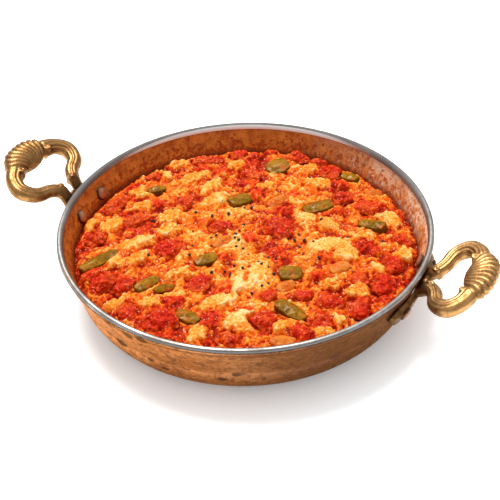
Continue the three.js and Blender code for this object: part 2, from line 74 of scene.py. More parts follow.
# How far the pan's line of handles is turned from the viewer's right, and the pan's front.
VIEW_TURN = math.radians(26.4)
FRONT = (math.sin(VIEW_TURN), -math.cos(VIEW_TURN), 0)

# ---- Sizes and finishes that a user would change ----


class PanSizes(bpy.types.PropertyGroup):
    """Sizes of the copper pan."""

    segments: IntProperty(
        name="Segments", description="Facets round the pan", default=192, min=48)
    rim_radius: FloatProperty(
        name="Rim radius", description="Outside radius of the rim",
        default=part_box("pan_rim")[1].x, subtype="DISTANCE", unit="LENGTH")
    grip_ribs: IntProperty(
        name="Grip ribs", description="Ribs of the shell on each grip", default=9, min=4)


class FoodSizes(bpy.types.PropertyGroup):
    """Sizes of the food in the pan."""

    crumb_size: FloatProperty(
        name="Crumb size", description="Width of the coarse crumbs of egg",
        default=0.0031, subtype="DISTANCE", unit="LENGTH")
    grain_size: FloatProperty(
        name="Grain size", description="Width of the fine grains on the crumbs",
        default=0.0016, subtype="DISTANCE", unit="LENGTH")
    pepper_dust: IntProperty(
        name="Pepper dust", description="Fine flecks of ground pepper", default=260, min=0)


class Finishes(bpy.types.PropertyGroup):
    """Main colours, as linear values."""

    copper: FloatVectorProperty(
        name="Copper", description="Bare copper of the wall", default=(0.80, 0.335, 0.125),
        subtype="COLOR", size=3, min=0, max=1)
    brass: FloatVectorProperty(
        name="Brass", description="Rubbed tops of the cast handles", default=(0.58, 0.312, 0.116),
        subtype="COLOR", size=3, min=0, max=1)
    egg: FloatVectorProperty(
        name="Egg", description="Palest scrambled egg", default=(0.95, 0.61, 0.26),
        subtype="COLOR", size=3, min=0, max=1)
    tomato: FloatVectorProperty(
        name="Tomato", description="Cooked tomato flesh", default=(0.62, 0.022, 0.003),
        subtype="COLOR", size=3, min=0, max=1)
    pepper: FloatVectorProperty(
        name="Green pepper", description="Cooked green pepper", default=(0.20, 0.092, 0.0008),
        subtype="COLOR", size=3, min=0, max=1)


# ---- Shader parts ----


def put(tree, kind, values=None, **settings):
    """Adds a node, sets its options, and sets or links its inputs."""
    node = tree.nodes.new(kind)
    for name, value in settings.items():
        setattr(node, name, value)
    for name, value in (values or {}).items():
        value = getattr(value, "socket", value)
        if isinstance(value, bpy.types.NodeSocket):
            tree.links.new(value, node.inputs[name])
        else:
            node.inputs[name].default_value = value
    return node


def out(tree, kind, values=None, output=0, **settings):
    """Adds a node and gives one of its outputs."""
    return Field(tree, put(tree, kind, values, **settings).outputs[output])


class Field:
    """A node's output that changes over a surface, with plain arithmetic."""

    def __init__(self, tree, socket):
        self.tree, self.socket = tree, socket

    def maths(self, operation, a, b):
        return out(self.tree, "ShaderNodeMath", {0: a, 1: b}, operation=operation)

    def __add__(self, other):
        return self.maths("ADD", self, other)

    def __sub__(self, other):
        return self.maths("SUBTRACT", self, other)

    def __rsub__(self, other):
        return self.maths("SUBTRACT", other, self)

    def __mul__(self, other):
        return self.maths("MULTIPLY", self, other)

    def most(self, other):
        return self.maths("MAXIMUM", self, other)

    def remap(self, low, high, to_low=0.0, to_high=1.0):
        """A smooth step from one range to another."""
        return out(self.tree, "ShaderNodeMapRange", {
            0: self, 1: low, 2: high, 3: to_low, 4: to_high}, interpolation_type="SMOOTHSTEP")

    def ramp(self, *stops):
        """A colour ramp from (position, colour) stops."""
        node = put(self.tree, "ShaderNodeValToRGB", {0: self})
        elements = node.color_ramp.elements
        while len(elements) < len(stops):
            elements.new(0.5)
        for element, (position, colour) in zip(elements, stops):
            element.position, element.color = position, (*colour, 1.0)
        return Field(self.tree, node.outputs[0])

    def mixed(self, a, b):
        """A blend from one colour to another, by this share."""
        a, b = (c if isinstance(c, Field) else (*c, 1.0) for c in (a, b))
        return out(self.tree, "ShaderNodeMix", {0: self, 6: a, 7: b}, 2, data_type="RGBA")

    def coated(self, *layers):
        """This colour under layers of (share, colour)."""
        colour = self
        for share, layer in layers:
            colour = share.mixed(colour, layer)
        return colour

    def stretched(self, *scale):
        return out(self.tree, "ShaderNodeMapping", {"Vector": self, "Scale": scale})

    def parts(self):
        node = put(self.tree, "ShaderNodeSeparateXYZ", {0: self})
        return [Field(self.tree, socket) for socket in node.outputs]


def attribute(place, name):
    return out(place.tree, "ShaderNodeAttribute", output="Fac", attribute_name=name)


def bump(height, distance, strength, normal=None):
    values = {"Strength": strength, "Distance": distance, "Height": height}
    if normal is not None:
        values["Normal"] = normal
    return out(height.tree, "ShaderNodeBump", values)


def to_front(vector):
    """How far a place or a normal lies towards the pan's front."""
    return out(vector.tree, "ShaderNodeVectorMath", {0: vector, 1: FRONT}, "Value",
               operation="DOT_PRODUCT")


def from_axis(place):
    """Distance of a place from the pan's own upright axis."""
    flat = out(place.tree, "ShaderNodeVectorMath", {0: place, 1: (1, 1, 0)}, operation="MULTIPLY")
    return out(place.tree, "ShaderNodeVectorMath", {0: flat}, "Value", operation="LENGTH")


def build_patches(vector, scale, detail, low, high):
    """Cloudy patches, from none at the low limit to full at the high one."""
    return out(vector.tree, "ShaderNodeTexNoise", {
        "Vector": vector, "Scale": scale, "Detail": detail, "Roughness": 0.6}).remap(low, high)


def build_specks(vector, scale, rarity):
    """Round specks of mixed sizes, fewer as the rarity rises."""
    cells = put(vector.tree, "ShaderNodeTexVoronoi", {"Vector": vector, "Scale": scale})
    chance = out(vector.tree, "ShaderNodeSeparateColor", {0: cells.outputs["Color"]})
    return (chance.remap(rarity, 1.0) * 0.5 - cells.outputs["Distance"]).remap(0.0, 0.12)


def build_pulp(vector, scale):
    """Height of soft pulp: round lumps with a finer grain."""
    lumps = out(vector.tree, "ShaderNodeTexVoronoi", {
        "Vector": vector, "Scale": scale, "Smoothness": 0.5}, "Distance", feature="SMOOTH_F1")
    fine = out(vector.tree, "ShaderNodeTexNoise", {
        "Vector": vector, "Scale": scale * 2.3, "Detail": 4.0, "Roughness": 0.6})
    return (1.0 - lumps) * 0.6 + fine * 0.4


EFFECTS, FINISHES, TREES = {}, {}, {}


def make_effects():
    """The effects that more than one finish uses, as shader node groups with named inputs."""
    for name, build, output, numbers in (
            ("Patches", build_patches, "Mask", ("Scale", "Detail", "Low", "High")),
            ("Specks", build_specks, "Mask", ("Scale", "Rarity")),
            ("Pulp", build_pulp, "Height", ("Scale",))):
        group = bpy.data.node_groups.new(name, "ShaderNodeTree")
        new_socket = group.interface.new_socket
        new_socket("Vector", in_out="INPUT", socket_type="NodeSocketVector")
        for label in numbers:
            new_socket(label, in_out="INPUT", socket_type="NodeSocketFloat")
        new_socket(output, in_out="OUTPUT", socket_type="NodeSocketFloat")
        inside = group.nodes.new("NodeGroupInput").outputs
        result = build(*(Field(group, inside[label]) for label in ("Vector", *numbers)))
        group.links.new(result.socket, group.nodes.new("NodeGroupOutput").inputs[output])
        EFFECTS[name] = group


def effect(name, vector, **numbers):
    """Places a shared effect in a material, with its own values."""
    return out(vector.tree, "ShaderNodeGroup", {"Vector": vector, **numbers},
               node_tree=EFFECTS[name])


def patches(vector, scale, detail, low, high):
    return effect("Patches", vector, Scale=scale, Detail=detail, Low=low, High=high)


def specks(vector, scale, rarity):
    return effect("Specks", vector, Scale=scale, Rarity=rarity)


def pulp(vector, scale):
    return effect("Pulp", vector, Scale=scale)


# ---- Finishes ----


def chosen(name):
    return tuple(getattr(bpy.context.scene.menemen_finishes, name))


def copper_outside(place):
    across, along, level = place.parts()
    flat, tall = place.stretched(1, 1, 1.15), place.stretched(1, 1, 1.5)
    mottle, tarnish = patches(flat, 230, 9, 0.47, 0.60), patches(flat, 95, 10, 0.56, 0.66)
    shade = (across * 0.9 + along * -0.1).remap(0.015, 0.085) * along.remap(0.03, -0.03)
    # Painted shadow: a dark band on the wall just under the rim.
    shadow_under_rim = level.remap(0.0385, 0.0415) * level.remap(0.0424, 0.0430, 1.0, 0.0)
    cloud = patches(flat, 34, 6, 0.36, 0.66)
    colour = cloud.mixed(chosen("copper"), (0.57, 0.21, 0.07)).coated(
        (mottle * 0.68, (0.28, 0.10, 0.042)),
        (patches(flat, 560, 4, 0.56, 0.64) * 0.75, (0.10, 0.038, 0.016)),  # pits
        (tarnish * 0.62, (0.13, 0.05, 0.022)),
        (patches(tall, 330, 6, 0.54, 0.66) * 0.4, (0.88, 0.44, 0.15)),  # rubbed places
        (specks(tall, 100, 0.70) * 0.8, (0.045, 0.026, 0.02)),  # dark spots
        (shade * 0.8, (0.13, 0.056, 0.036)),
        (level.remap(0.0, 0.02, 0.6, 0.0), (0.10, 0.035, 0.014)),  # towards the base
        # painted shadow under the rim
        (shadow_under_rim * 0.55, (0.12, 0.045, 0.02)))
    dents = patches(place.stretched(1, 1, 1.3), 45, 3, 0.2, 0.8)
    grain = patches(flat, 420, 4, 0.2, 0.8)
    return {"Base Color": colour, "Roughness": (mottle * 0.6).most(tarnish).remap(0, 1, 0.33, 0.6),
            "Normal": bump(grain, 0.00022, 0.6, bump(dents, 0.0008, 0.5))}


def copper_inside(place):
    across, along, level = place.parts()
    grit = patches(place, 900, 4, 0.42, 0.6)
    worn = patches(place.stretched(1, 1, 2), 60, 8, 0.40, 0.62)
    # Painted light: the right of the inner wall is paler and less metallic, in patches.
    painted_light_right = across.remap(-0.02, 0.07) * along.remap(-0.05, 0.03) * worn.remap(0, 1, 1.0, 0.5)
    near_food = level.remap(0.030, 0.045)
    film_noise = patches(place.stretched(1, 1, 0.75), 400, 9, 0.0, 1.0)
    film = (film_noise - near_food.remap(0, 1, 0.44, 0.62)).remap(0.0, 0.07)
    crust_noise = patches(place, 270, 6, 0.0, 1.0)
    crust = (crust_noise - near_food.remap(0, 1, 0.51, 0.69)).remap(0.0, 0.06)
    splashes = specks(place, 330, 0.74)
    # Painted shadow: a dark, uneven line on the wall along the food's edge.
    food_edge_shadow = (level + (crust_noise - 0.5) * 0.012).remap(0.0275, 0.0320, 0.85, 0.0)
    base = patches(place, 150, 9, 0.38, 0.62).mixed((0.74, 0.27, 0.045), (0.44, 0.115, 0.014))
    colour = base.coated(
        (grit * 0.35, (0.74, 0.29, 0.08)),
        # painted light on the right of the inner wall
        (painted_light_right, (0.88, 0.64, 0.44)),
        (film * 0.85, (0.68, 0.19, 0.018)),
        (crust * painted_light_right.remap(0, 1, 0.9, 0.4), (0.36, 0.055, 0.006)),
        (splashes * 0.6, (0.34, 0.06, 0.009)),
        (patches(place, 800, 3, 0.60, 0.68) * 0.6, (0.20, 0.05, 0.012)),  # dust
        # painted shadow along the food's edge
        (food_edge_shadow, (0.14, 0.018, 0.004)))
    # The stains' mask also takes in the painted shadow line, for metal, roughness and bump.
    stained = film.most(crust).most(splashes.most(food_edge_shadow))
    bare = stained.remap(0.0, 0.8, 0.45, 0.05) * painted_light_right.remap(0.0, 0.6, 1.0, 0.3)
    return {"Base Color": colour, "Metallic": bare, "Roughness": stained.remap(0, 1, 0.45, 0.3),
            "Normal": bump(stained * 0.7 + grit * 0.3, 0.0005, 0.7)}


def tin(place):
    """Worn tin. On the bead's far half the inner side is a pale, matt painted highlight and the
    top a dark painted shade; on the near half the front faces get painted shade.
    """
    worn = patches(place, 70, 9, 0.40, 0.66)
    facing = to_front(out(place.tree, "ShaderNodeTexCoord", output="Normal"))
    behind = to_front(place).remap(0.03, -0.05)
    # Painted shade on the top of the far half; on faces turned to the front, a painted highlight
    # on the far half and painted shade on the near half.
    shaded_top, side = facing.remap(0.8, 0.5) * behind, facing.remap(0.62, 0.85)
    colour = worn.mixed((0.46, 0.44, 0.42), (0.24, 0.215, 0.195)).coated(
        (patches(place, 420, 5, 0.45, 0.65) * 0.4, (0.27, 0.235, 0.21)),  # fine wear
        (patches(place, 22, 3, 0.55, 0.72) * 0.3, (0.42, 0.25, 0.15)),  # copper shows through
        (shaded_top * 0.85, (0.13, 0.12, 0.115)),
        (side, behind.mixed((0.17, 0.16, 0.155), (0.84, 0.93, 0.95))))
    scratches = patches(place.stretched(1, 1, 6), 900, 4, 0.3, 0.7)
    return {"Base Color": colour, "Metallic": (side * behind).most(shaded_top).remap(0, 1, 1.0, 0.12),
            "Roughness": worn.remap(0, 1, 0.36, 0.5).most(shaded_top * 0.8),
            "Normal": bump(scratches, 0.00004, 0.5)}


def antique_brass(place):
    recess = attribute(place, "recess")
    patina = patches(place, 210, 8, 0.42, 0.64)
    colour = (patina * 0.72).mixed(chosen("brass"), (0.24, 0.12, 0.038)).coated(
        (patches(place, 75, 6, 0.45, 0.66) * 0.65, (0.13, 0.062, 0.02)),  # stain
        (place.parts()[0].remap(0.05, -0.05, 0.0, 0.4), (0.22, 0.10, 0.030)),  # painted shade: the left casting darker
        (from_axis(place).remap(0.111, 0.121, 0.7, 0.0), (0.11, 0.05, 0.016)),  # painted shade near the wall
        (recess, (0.028, 0.012, 0.004)))
    cast = patches(place, 420, 4, 0.3, 0.7)
    return {"Base Color": colour, "Roughness": (patina * 0.6).most(recess).remap(0, 1, 0.36, 0.62),
            "Normal": bump(cast, 0.00012, 0.6)}


def rivet_copper(place):
    patina = patches(place, 260, 7, 0.4, 0.68)
    colour = patina.mixed((0.50, 0.22, 0.11), (0.24, 0.09, 0.04)).coated(
        (attribute(place, "edge") * 0.9, (0.035, 0.016, 0.010)))
    return {"Base Color": colour, "Roughness": patina.remap(0, 1, 0.42, 0.6),
            "Normal": bump(patina, 0.0003, 0.4)}


def moist_grain(place, scale, fine_bump):
    """Two sizes of pulp as a bump. The wet coat's is made of plain nodes, not of the group."""
    normals = {}
    for socket, pulp_at in (("Normal", pulp), ("Coat Normal", build_pulp)):
        coarse = bump(pulp_at(place, scale), 0.0011, 0.9)
        normals[socket] = bump(pulp_at(place, 1500.0), fine_bump, 0.7, coarse)
    return normals


def scrambled_egg(place):
    red, curd = attribute(place, "sauce"), pulp(place, 560.0)
    grain, edge = patches(place, 700, 3, 0.25, 0.75), patches(place, 260, 6, 0.3, 0.7)
    # Painted shade and light at the grain's scale: raised pulp paler, its hollows darker; low
    # values turn dark red in the ramps.
    tone = attribute(place, "tone") + (curd - 0.62) * 0.62 + (grain - 0.5) * 0.13 - red * 0.3
    glints = specks(place, 900, 0.70)
    yellow = tone.ramp(
        (0.04, (0.36, 0.016, 0.002)), (0.24, (0.68, 0.075, 0.003)), (0.42, (0.86, 0.19, 0.008)),
        (0.62, (0.91, 0.37, 0.050)), (0.84, chosen("egg")))
    stained = tone.ramp(
        (0.0, (0.30, 0.006, 0.001)), (0.18, (0.56, 0.018, 0.002)), (0.36, (0.74, 0.050, 0.004)),
        (0.62, (0.86, 0.18, 0.014)))
    colour = (red + edge * 0.25).remap(0.4, 1.1).mixed(
        yellow.coated((glints * 0.7, (0.98, 0.78, 0.42))),
        stained.coated((glints * 0.6, (0.95, 0.42, 0.26))))
    return {"Base Color": colour, "Roughness": curd.remap(0.3, 0.8, 0.5, 0.32),
            **moist_grain(place, 560.0, 0.0005)}


def cooked_tomato(place):
    flesh, fringe = pulp(place, 540.0), attribute(place, "fringe")
    # Painted shade and light: darker low on the lump and in the pulp's hollows, paler on its
    # bumps.
    tone = attribute(place, "tone") - fringe * 0.13 + (flesh - 0.62) * 0.55
    red = tone.ramp(
        (0.06, (0.18, 0.003, 0.001)), (0.30, (0.42, 0.008, 0.001)), (0.54, chosen("tomato")),
        (0.84, (0.80, 0.10, 0.014)))
    orange = tone.ramp(
        (0.10, (0.36, 0.020, 0.003)), (0.44, (0.70, 0.10, 0.006)), (0.80, (0.84, 0.30, 0.040)))
    by_the_egg = fringe * patches(place, 110, 6, 0.25, 0.6) * 0.9
    colour = red.coated(
        (by_the_egg.most(patches(place, 60, 6, 0.44, 0.66) * 0.6), orange),
        (specks(place, 900, 0.66) * 0.55, (0.95, 0.40, 0.26)))  # glints
    return {"Base Color": colour, "Roughness": flesh.remap(0.3, 0.8, 0.42, 0.24),
            **moist_grain(place, 540.0, 0.0004)}


def cooked_pepper(place):
    cloud, veins = patches(place, 110, 5, 0.35, 0.66), patches(place, 330, 6, 0.50, 0.66)
    colour = cloud.mixed(chosen("pepper"), (0.34, 0.150, 0.003)).coated(
        (veins * 0.5, (0.05, 0.026, 0.003)),
        (patches(place, 190, 6, 0.56, 0.66) * 0.75, (0.55, 0.075, 0.006)),  # sauce
        # painted shade on the steep sides
        (attribute(place, "cut_edge") * 0.6, (0.075, 0.042, 0.004)))
    return {"Base Color": colour, "Roughness": cloud.remap(0, 1, 0.25, 0.4),
            "Normal": bump(veins, 0.0005, 0.7),
            "Coat Normal": bump(build_patches(place, 330, 6, 0.50, 0.66), 0.0005, 0.7)}


def soft_onion(place):
    cloud = patches(place, 100, 5, 0.38, 0.64)
    lines = patches(place.stretched(1, 3, 1), 260, 3, 0.45, 0.65)
    colour = cloud.mixed((0.52, 0.095, 0.005), (0.60, 0.18, 0.020)).coated(
        (lines * 0.3, (0.78, 0.38, 0.11)),
        (patches(place, 170, 5, 0.50, 0.64) * 0.85, (0.66, 0.11, 0.008)))  # sauce
    return {"Base Color": colour, "Roughness": cloud.remap(0, 1, 0.25, 0.4),
            "Normal": bump(lines, 0.0004, 0.6)}


def black_pepper(place):
    husk = patches(place, 1500, 4, 0.4, 0.65)
    return {"Base Color": husk.mixed((0.008, 0.006, 0.006), (0.04, 0.022, 0.014)),
            "Roughness": husk.remap(0, 1, 0.35, 0.6), "Normal": bump(husk, 0.0002, 0.7)}


def pale_floor_with_glow(place):
    cloud = patches(place, 6, 3, 0.2, 0.8)
    return {"Base Color": cloud.mixed((0.90, 0.94, 0.955), (0.915, 0.95, 0.965)),
            # Painted light: the floor glows, weaker by the pan's foot and stronger further out, so
            # cast shadows fade.
            "Emission Strength": from_axis(place).remap(0.085, 0.135, 0.22, 0.55)}


def make_finishes():
    """A material for each finish. Its function gives what varies, the rest is constant."""
    moist = {"Specular IOR Level": 0.05, "Coat Weight": 0.08, "Coat Roughness": 0.08}
    for name, paint, constants in (
            ("copper", copper_outside, {"Metallic": 1.0, "Specular Tint": (0.8, 0.58, 0.42, 1)}),
            ("copper_inside", copper_inside, {"Specular IOR Level": 0.15}),
            ("tin", tin, {"Specular Tint": (0.4, 0.4, 0.4, 1), "Specular IOR Level": 0.15}),
            ("brass", antique_brass, {"Metallic": 1.0}),
            ("rivet_copper", rivet_copper, {"Metallic": 0.6}),
            ("egg", scrambled_egg, moist),
            ("tomato", cooked_tomato, {**moist, "Coat Weight": 0.1}),
            ("green_pepper", cooked_pepper, {**moist, "Coat Weight": 0.16}),
            ("onion", soft_onion, {
                **moist, "Subsurface Weight": 0.2, "Subsurface Radius": (0.003, 0.0015, 0.0007),
                "Subsurface Scale": 1.0}),
            ("black_pepper", black_pepper, {}),
            ("floor", pale_floor_with_glow, {"Roughness": 0.8, "Emission Color": (1, 1, 1, 1)})):
        material = FINISHES[name] = bpy.data.materials.new(name)
        material.use_nodes = True
        tree = material.node_tree
        tree.nodes.clear()
        place = out(tree, "ShaderNodeTexCoord", output="Object")
        shader = put(tree, "ShaderNodeBsdfPrincipled", {**constants, **paint(place)})
        put(tree, "ShaderNodeOutputMaterial", {"Surface": shader.outputs[0]})


# ---- Meshes ----


def added(name, data):
    """A new object at the origin."""
    thing = bpy.data.objects.new(name, data)
    bpy.context.scene.collection.objects.link(thing)
    return thing


def mesh_object(name, points_mm, faces, material):
    """A closed mesh piece from points in millimetres."""
    mesh = bpy.data.meshes.new(name)
    mesh.from_pydata((np.asarray(points_mm, float) * MM).tolist(), [], faces)
    return linked(name, mesh, material)


def linked(name, mesh, material):
    mesh.materials.clear()
    mesh.materials.append(material)
    mesh.shade_smooth()
    return added(name, mesh)


def settled(piece, slot, nodes=()):
    """Joins a finished piece to the frame."""
    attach(piece, "root")
    if nodes:
        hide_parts(*nodes)
    return piece


def plain(piece):
    """Applies a piece's modifiers: it becomes a plain mesh."""
    graph = bpy.context.evaluated_depsgraph_get()
    mesh = bpy.data.meshes.new_from_object(piece.evaluated_get(graph))
    piece.modifiers.clear()
    piece.data = mesh
    mesh.name = piece.name
    return piece


def points_of(mesh):
    co = np.empty(len(mesh.vertices) * 3)
    mesh.vertices.foreach_get("co", co)
    return co.reshape(-1, 3)


def normals_of(mesh):
    co = np.empty(len(mesh.vertices) * 3)
    mesh.vertex_normals.foreach_get("vector", co)
    return co.reshape(-1, 3)


def set_points(mesh, co):
    mesh.vertices.foreach_set("co", np.asarray(co, np.float32).ravel())
    mesh.update()


def set_attribute(mesh, name, values):
    layer = mesh.attributes.new(name, "FLOAT", "POINT")
    layer.data.foreach_set("value", np.asarray(values, np.float32))


def edges_of(mesh):
    pairs = np.empty(len(mesh.edges) * 2, np.int32)
    mesh.edges.foreach_get("vertices", pairs)
    return pairs.reshape(-1, 2)


def averaged(values, pairs, rounds):
    """Smooths per-point values over the edges of a mesh."""
    values = np.asarray(values, float)
    flat = values.reshape(len(values), -1)
    count = np.bincount(pairs.ravel(), minlength=len(flat))[:, None]
    for _ in range(rounds):
        total = np.zeros_like(flat)
        for column in range(flat.shape[1]):
            total[:, column] = (
                np.bincount(pairs[:, 0], flat[pairs[:, 1], column], len(flat))
                + np.bincount(pairs[:, 1], flat[pairs[:, 0], column], len(flat)))
        flat = 0.5 * flat + 0.5 * total / np.maximum(count, 1)
    return flat.reshape(values.shape)


def recess_of(mesh, rounds, full):
    """How deep each point lies below its surroundings, from 0 to 1 at the full depth."""
    co, pairs = points_of(mesh), edges_of(mesh)
    depth = ((averaged(co, pairs, rounds) - co) * normals_of(mesh)).sum(1)
    return np.clip(averaged(depth, pairs, 1) / full, 0, 1)


def tidy_mesh(mesh, distance=1e-7):
    """Merges doubles and turns the faces outwards."""
    shape = bmesh.new()
    shape.from_mesh(mesh)
    bmesh.ops.remove_doubles(shape, verts=shape.verts, dist=distance)
    bmesh.ops.recalc_face_normals(shape, faces=shape.faces)
    shape.to_mesh(mesh)
    shape.free()
    mesh.shade_smooth()


def remeshed(piece, voxel, smooth_rounds):
    """Fuses a piece's lumps into one skin, then softens it."""
    change = piece.modifiers.new("fused", "REMESH")
    change.mode = "VOXEL"
    change.voxel_size = voxel
    change.use_smooth_shade = True
    plain(piece)
    mesh = piece.data
    set_points(mesh, averaged(points_of(mesh), edges_of(mesh), smooth_rounds))
    return piece


# ---- Node trees that repeat or revolve ----


def socket_ids(tree):
    return {item.name: item.identifier for item in tree.interface.items_tree
            if item.in_out == "INPUT"}


def apply_tree(piece, tree, **values):
    """Runs a geometry node tree on a piece and keeps the plain mesh."""
    change = piece.modifiers.new(tree.name, "NODES")
    change.node_group = tree
    identifiers = socket_ids(tree)
    for label, value in values.items():
        change[identifiers[label.replace("_", " ").capitalize()]] = value
    piece.update_tag()
    plain(piece)
    return piece


def geometry_tree(name, inputs):
    tree = bpy.data.node_groups.new(name, "GeometryNodeTree")
    tree.interface.new_socket("Geometry", in_out="INPUT", socket_type="NodeSocketGeometry")
    for label, kind in inputs:
        tree.interface.new_socket(label, in_out="INPUT", socket_type="NodeSocket" + kind)
    tree.interface.new_socket("Geometry", in_out="OUTPUT", socket_type="NodeSocketGeometry")
    return tree, tree.nodes.new("NodeGroupInput").outputs


def close_tree(tree, geometry, material):
    real = out(tree, "GeometryNodeRealizeInstances", {"Geometry": geometry})
    smooth = out(tree, "GeometryNodeSetShadeSmooth", {"Geometry": real})
    coloured = out(tree, "GeometryNodeSetMaterial", {"Geometry": smooth, "Material": material})
    put(tree, "NodeGroupOutput", {0: coloured})
    return tree


def revolving_tree():
    """Sweeps a profile round a circle. The profile's X is outwards and its Y is down."""
    tree, inside = geometry_tree("Revolved profile", [
        ("Path radius", "Float"), ("Segments", "Int"), ("Material", "Material")])
    profile = out(tree, "GeometryNodeMeshToCurve", {"Mesh": inside["Geometry"]})
    circle = out(tree, "GeometryNodeCurvePrimitiveCircle", {
        "Resolution": inside["Segments"], "Radius": inside["Path radius"]})
    swept = out(tree, "GeometryNodeCurveToMesh", {"Curve": circle, "Profile Curve": profile})
    merged = out(tree, "GeometryNodeMergeByDistance", {"Geometry": swept, "Distance": 1e-6})
    return close_tree(tree, merged, inside["Material"])


def scattering_tree():
    """Sets a copy of one lump on every point, each with its own turn, size and unevenness."""
    tree, inside = geometry_tree("Lumps on points", [
        ("Lump", "Object"), ("Unevenness", "Float"), ("Pattern scale", "Float"),
        ("Seed", "Float"), ("Material", "Material")])
    lump = out(tree, "GeometryNodeObjectInfo", {"Object": inside["Lump"]}, "Geometry")
    turn, size = (out(tree, "GeometryNodeInputNamedAttribute", {"Name": name},
                      data_type="FLOAT_VECTOR") for name in ("turn", "size"))
    rotation = out(tree, "FunctionNodeEulerToRotation", {0: turn})
    points = out(tree, "GeometryNodeMeshToPoints", {"Mesh": inside["Geometry"]})
    lumps = out(tree, "GeometryNodeInstanceOnPoints", {
        "Points": points, "Instance": lump, "Rotation": rotation, "Scale": size})
    real = out(tree, "GeometryNodeRealizeInstances", {"Geometry": lumps})
    pattern = out(tree, "ShaderNodeTexNoise", {
        "W": inside["Seed"], "Scale": inside["Pattern scale"], "Detail": 1.0}, 1,
        noise_dimensions="4D")
    centred = out(tree, "ShaderNodeVectorMath", {0: pattern, 1: (0.5, 0.5, 0.5)},
                  operation="SUBTRACT")
    push = out(tree, "ShaderNodeVectorMath", {0: centred, "Scale": inside["Unevenness"]},
               operation="SCALE")
    uneven = out(tree, "GeometryNodeSetPosition", {"Geometry": real, "Offset": push})
    return close_tree(tree, uneven, inside["Material"])


def revolved(name, profile_mm, material):
    """A closed surface of revolution from [radius, height] points."""
    sizes = bpy.context.scene.menemen_pan
    points = [(r - sizes.rim_radius / MM, -z, 0) for r, z in profile_mm]
    mesh = bpy.data.meshes.new(name)
    edges = [(i, i + 1) for i in range(len(points) - 1)]
    mesh.from_pydata((np.array(points) * MM).tolist(), edges, [])
    piece = apply_tree(added(name, mesh), TREES["revolve"], path_radius=sizes.rim_radius,
                       segments=sizes.segments, material=material)
    tidy_mesh(piece.data)
    return piece


def scattered(name, lump, spots, material, unevenness, pattern_scale, seed):
    """Copies a lump to spots of (place, turn, size) in metres and radians."""
    mesh = bpy.data.meshes.new(name)
    mesh.from_pydata([tuple(place) for place, _, _ in spots], [], [])
    for index, label in ((1, "turn"), (2, "size")):
        layer = mesh.attributes.new(label, "FLOAT_VECTOR", "POINT")
        layer.data.foreach_set("vector", np.array([s[index] for s in spots], np.float32).ravel())
    piece = apply_tree(added(name, mesh), TREES["scatter"], lump=lump, unevenness=unevenness,
                       pattern_scale=pattern_scale, seed=seed, material=material)
    for label in ("turn", "size"):
        if label in piece.data.attributes:
            piece.data.attributes.remove(piece.data.attributes[label])
    return piece


def ball(subdivisions):
    """A helper ball of radius 1 that scattered pieces copy."""
    mesh = bpy.data.meshes.new("helper_ball")
    shape = bmesh.new()
    bmesh.ops.create_icosphere(shape, subdivisions=subdivisions, radius=1.0)
    shape.to_mesh(mesh)
    shape.free()
    return added("helper_ball", mesh)


def discard(helper):
    mesh = helper.data
    bpy.data.objects.remove(helper)
    bpy.data.meshes.remove(mesh)


# ---- Pan ----

RIM_TOP, LIP_TOP, WALL = 46.0, 43.5, 2.2
BASE_RADIUS, HEEL_RADIUS, HEEL_HEIGHT, HEEL_POWER = 84.0, 101.6, 22.0, 1.176
FLARE_TOP, OUTER_RADIUS = 44.0, 110.0
FLARE = (OUTER_RADIUS - HEEL_RADIUS) / (FLARE_TOP - HEEL_HEIGHT)
FLARE_ANGLE = math.atan(FLARE)
# Section of the tinned bead: radius, height.
BEAD = [
    (109.68, 43.8), (109.75, 44.3), (109.72, 44.9), (109.5, 45.45), (109.0, 45.82), (108.3, 46.0),
    (107.5, 45.86), (106.85, 45.4), (106.45, 44.7), (106.2, 43.9), (106.03, 43.1), (106.05, 42.72),
    (106.4, 42.7), (106.75, 42.8), (106.85, 43.2), (106.85, 43.8), (109.68, 43.8)]


def wall_radius(height):
    return HEEL_RADIUS + (height - HEEL_HEIGHT) * FLARE


def wall_profile(inset, heel_steps=20, flare_steps=12):
    """[radius, height] points of the wall from the base up, moved inwards by an inset."""
    points = []
    for step in range(heel_steps + 1):
        angle = math.pi / 2 * step / heel_steps
        points.append((BASE_RADIUS + (HEEL_RADIUS - BASE_RADIUS) * math.sin(angle) ** HEEL_POWER,
                       HEEL_HEIGHT * (1 - max(math.cos(angle), 0) ** HEEL_POWER)))
    for step in range(1, flare_steps + 1):
        height = HEEL_HEIGHT + (LIP_TOP - HEEL_HEIGHT) * step / flare_steps
        points.append((wall_radius(height), height))
    points = np.array(points)
    along = np.gradient(points, axis=0)
    along /= np.linalg.norm(along, axis=1)[:, None]
    moved = points + inset * np.stack([-along[:, 1], along[:, 0]], 1)
    moved[0] = (BASE_RADIUS, inset)
    moved[-1] = (wall_radius(LIP_TOP) - inset / math.cos(FLARE_ANGLE), LIP_TOP)
    return [tuple(p) for p in moved]


class MENEMEN_OT_pan(bpy.types.Operator):
    """Revolve the copper wall and give its two sides their finishes"""

    bl_idname = "menemen.pan"
    bl_label = "Copper pan"

    def execute(self, context):
        outside = wall_profile(0.0)
        inside = wall_profile(WALL)[::-1]
        profile = [(0, 0), (60, 0), *outside, *inside, (50, WALL), (0, WALL)]
        piece = revolved("copper_pan", profile, FINISHES["copper"])
        piece.data.materials.append(FINISHES["copper_inside"])
        for face in piece.data.polygons:
            inward = face.normal.xy.dot(face.center.xy) < -1e-6
            if inward or (face.normal.z > 0.9 and face.center.z < 0.04):
                face.material_index = 1
        settled(piece, "copper", ["pan_body"])
        return {"FINISHED"}


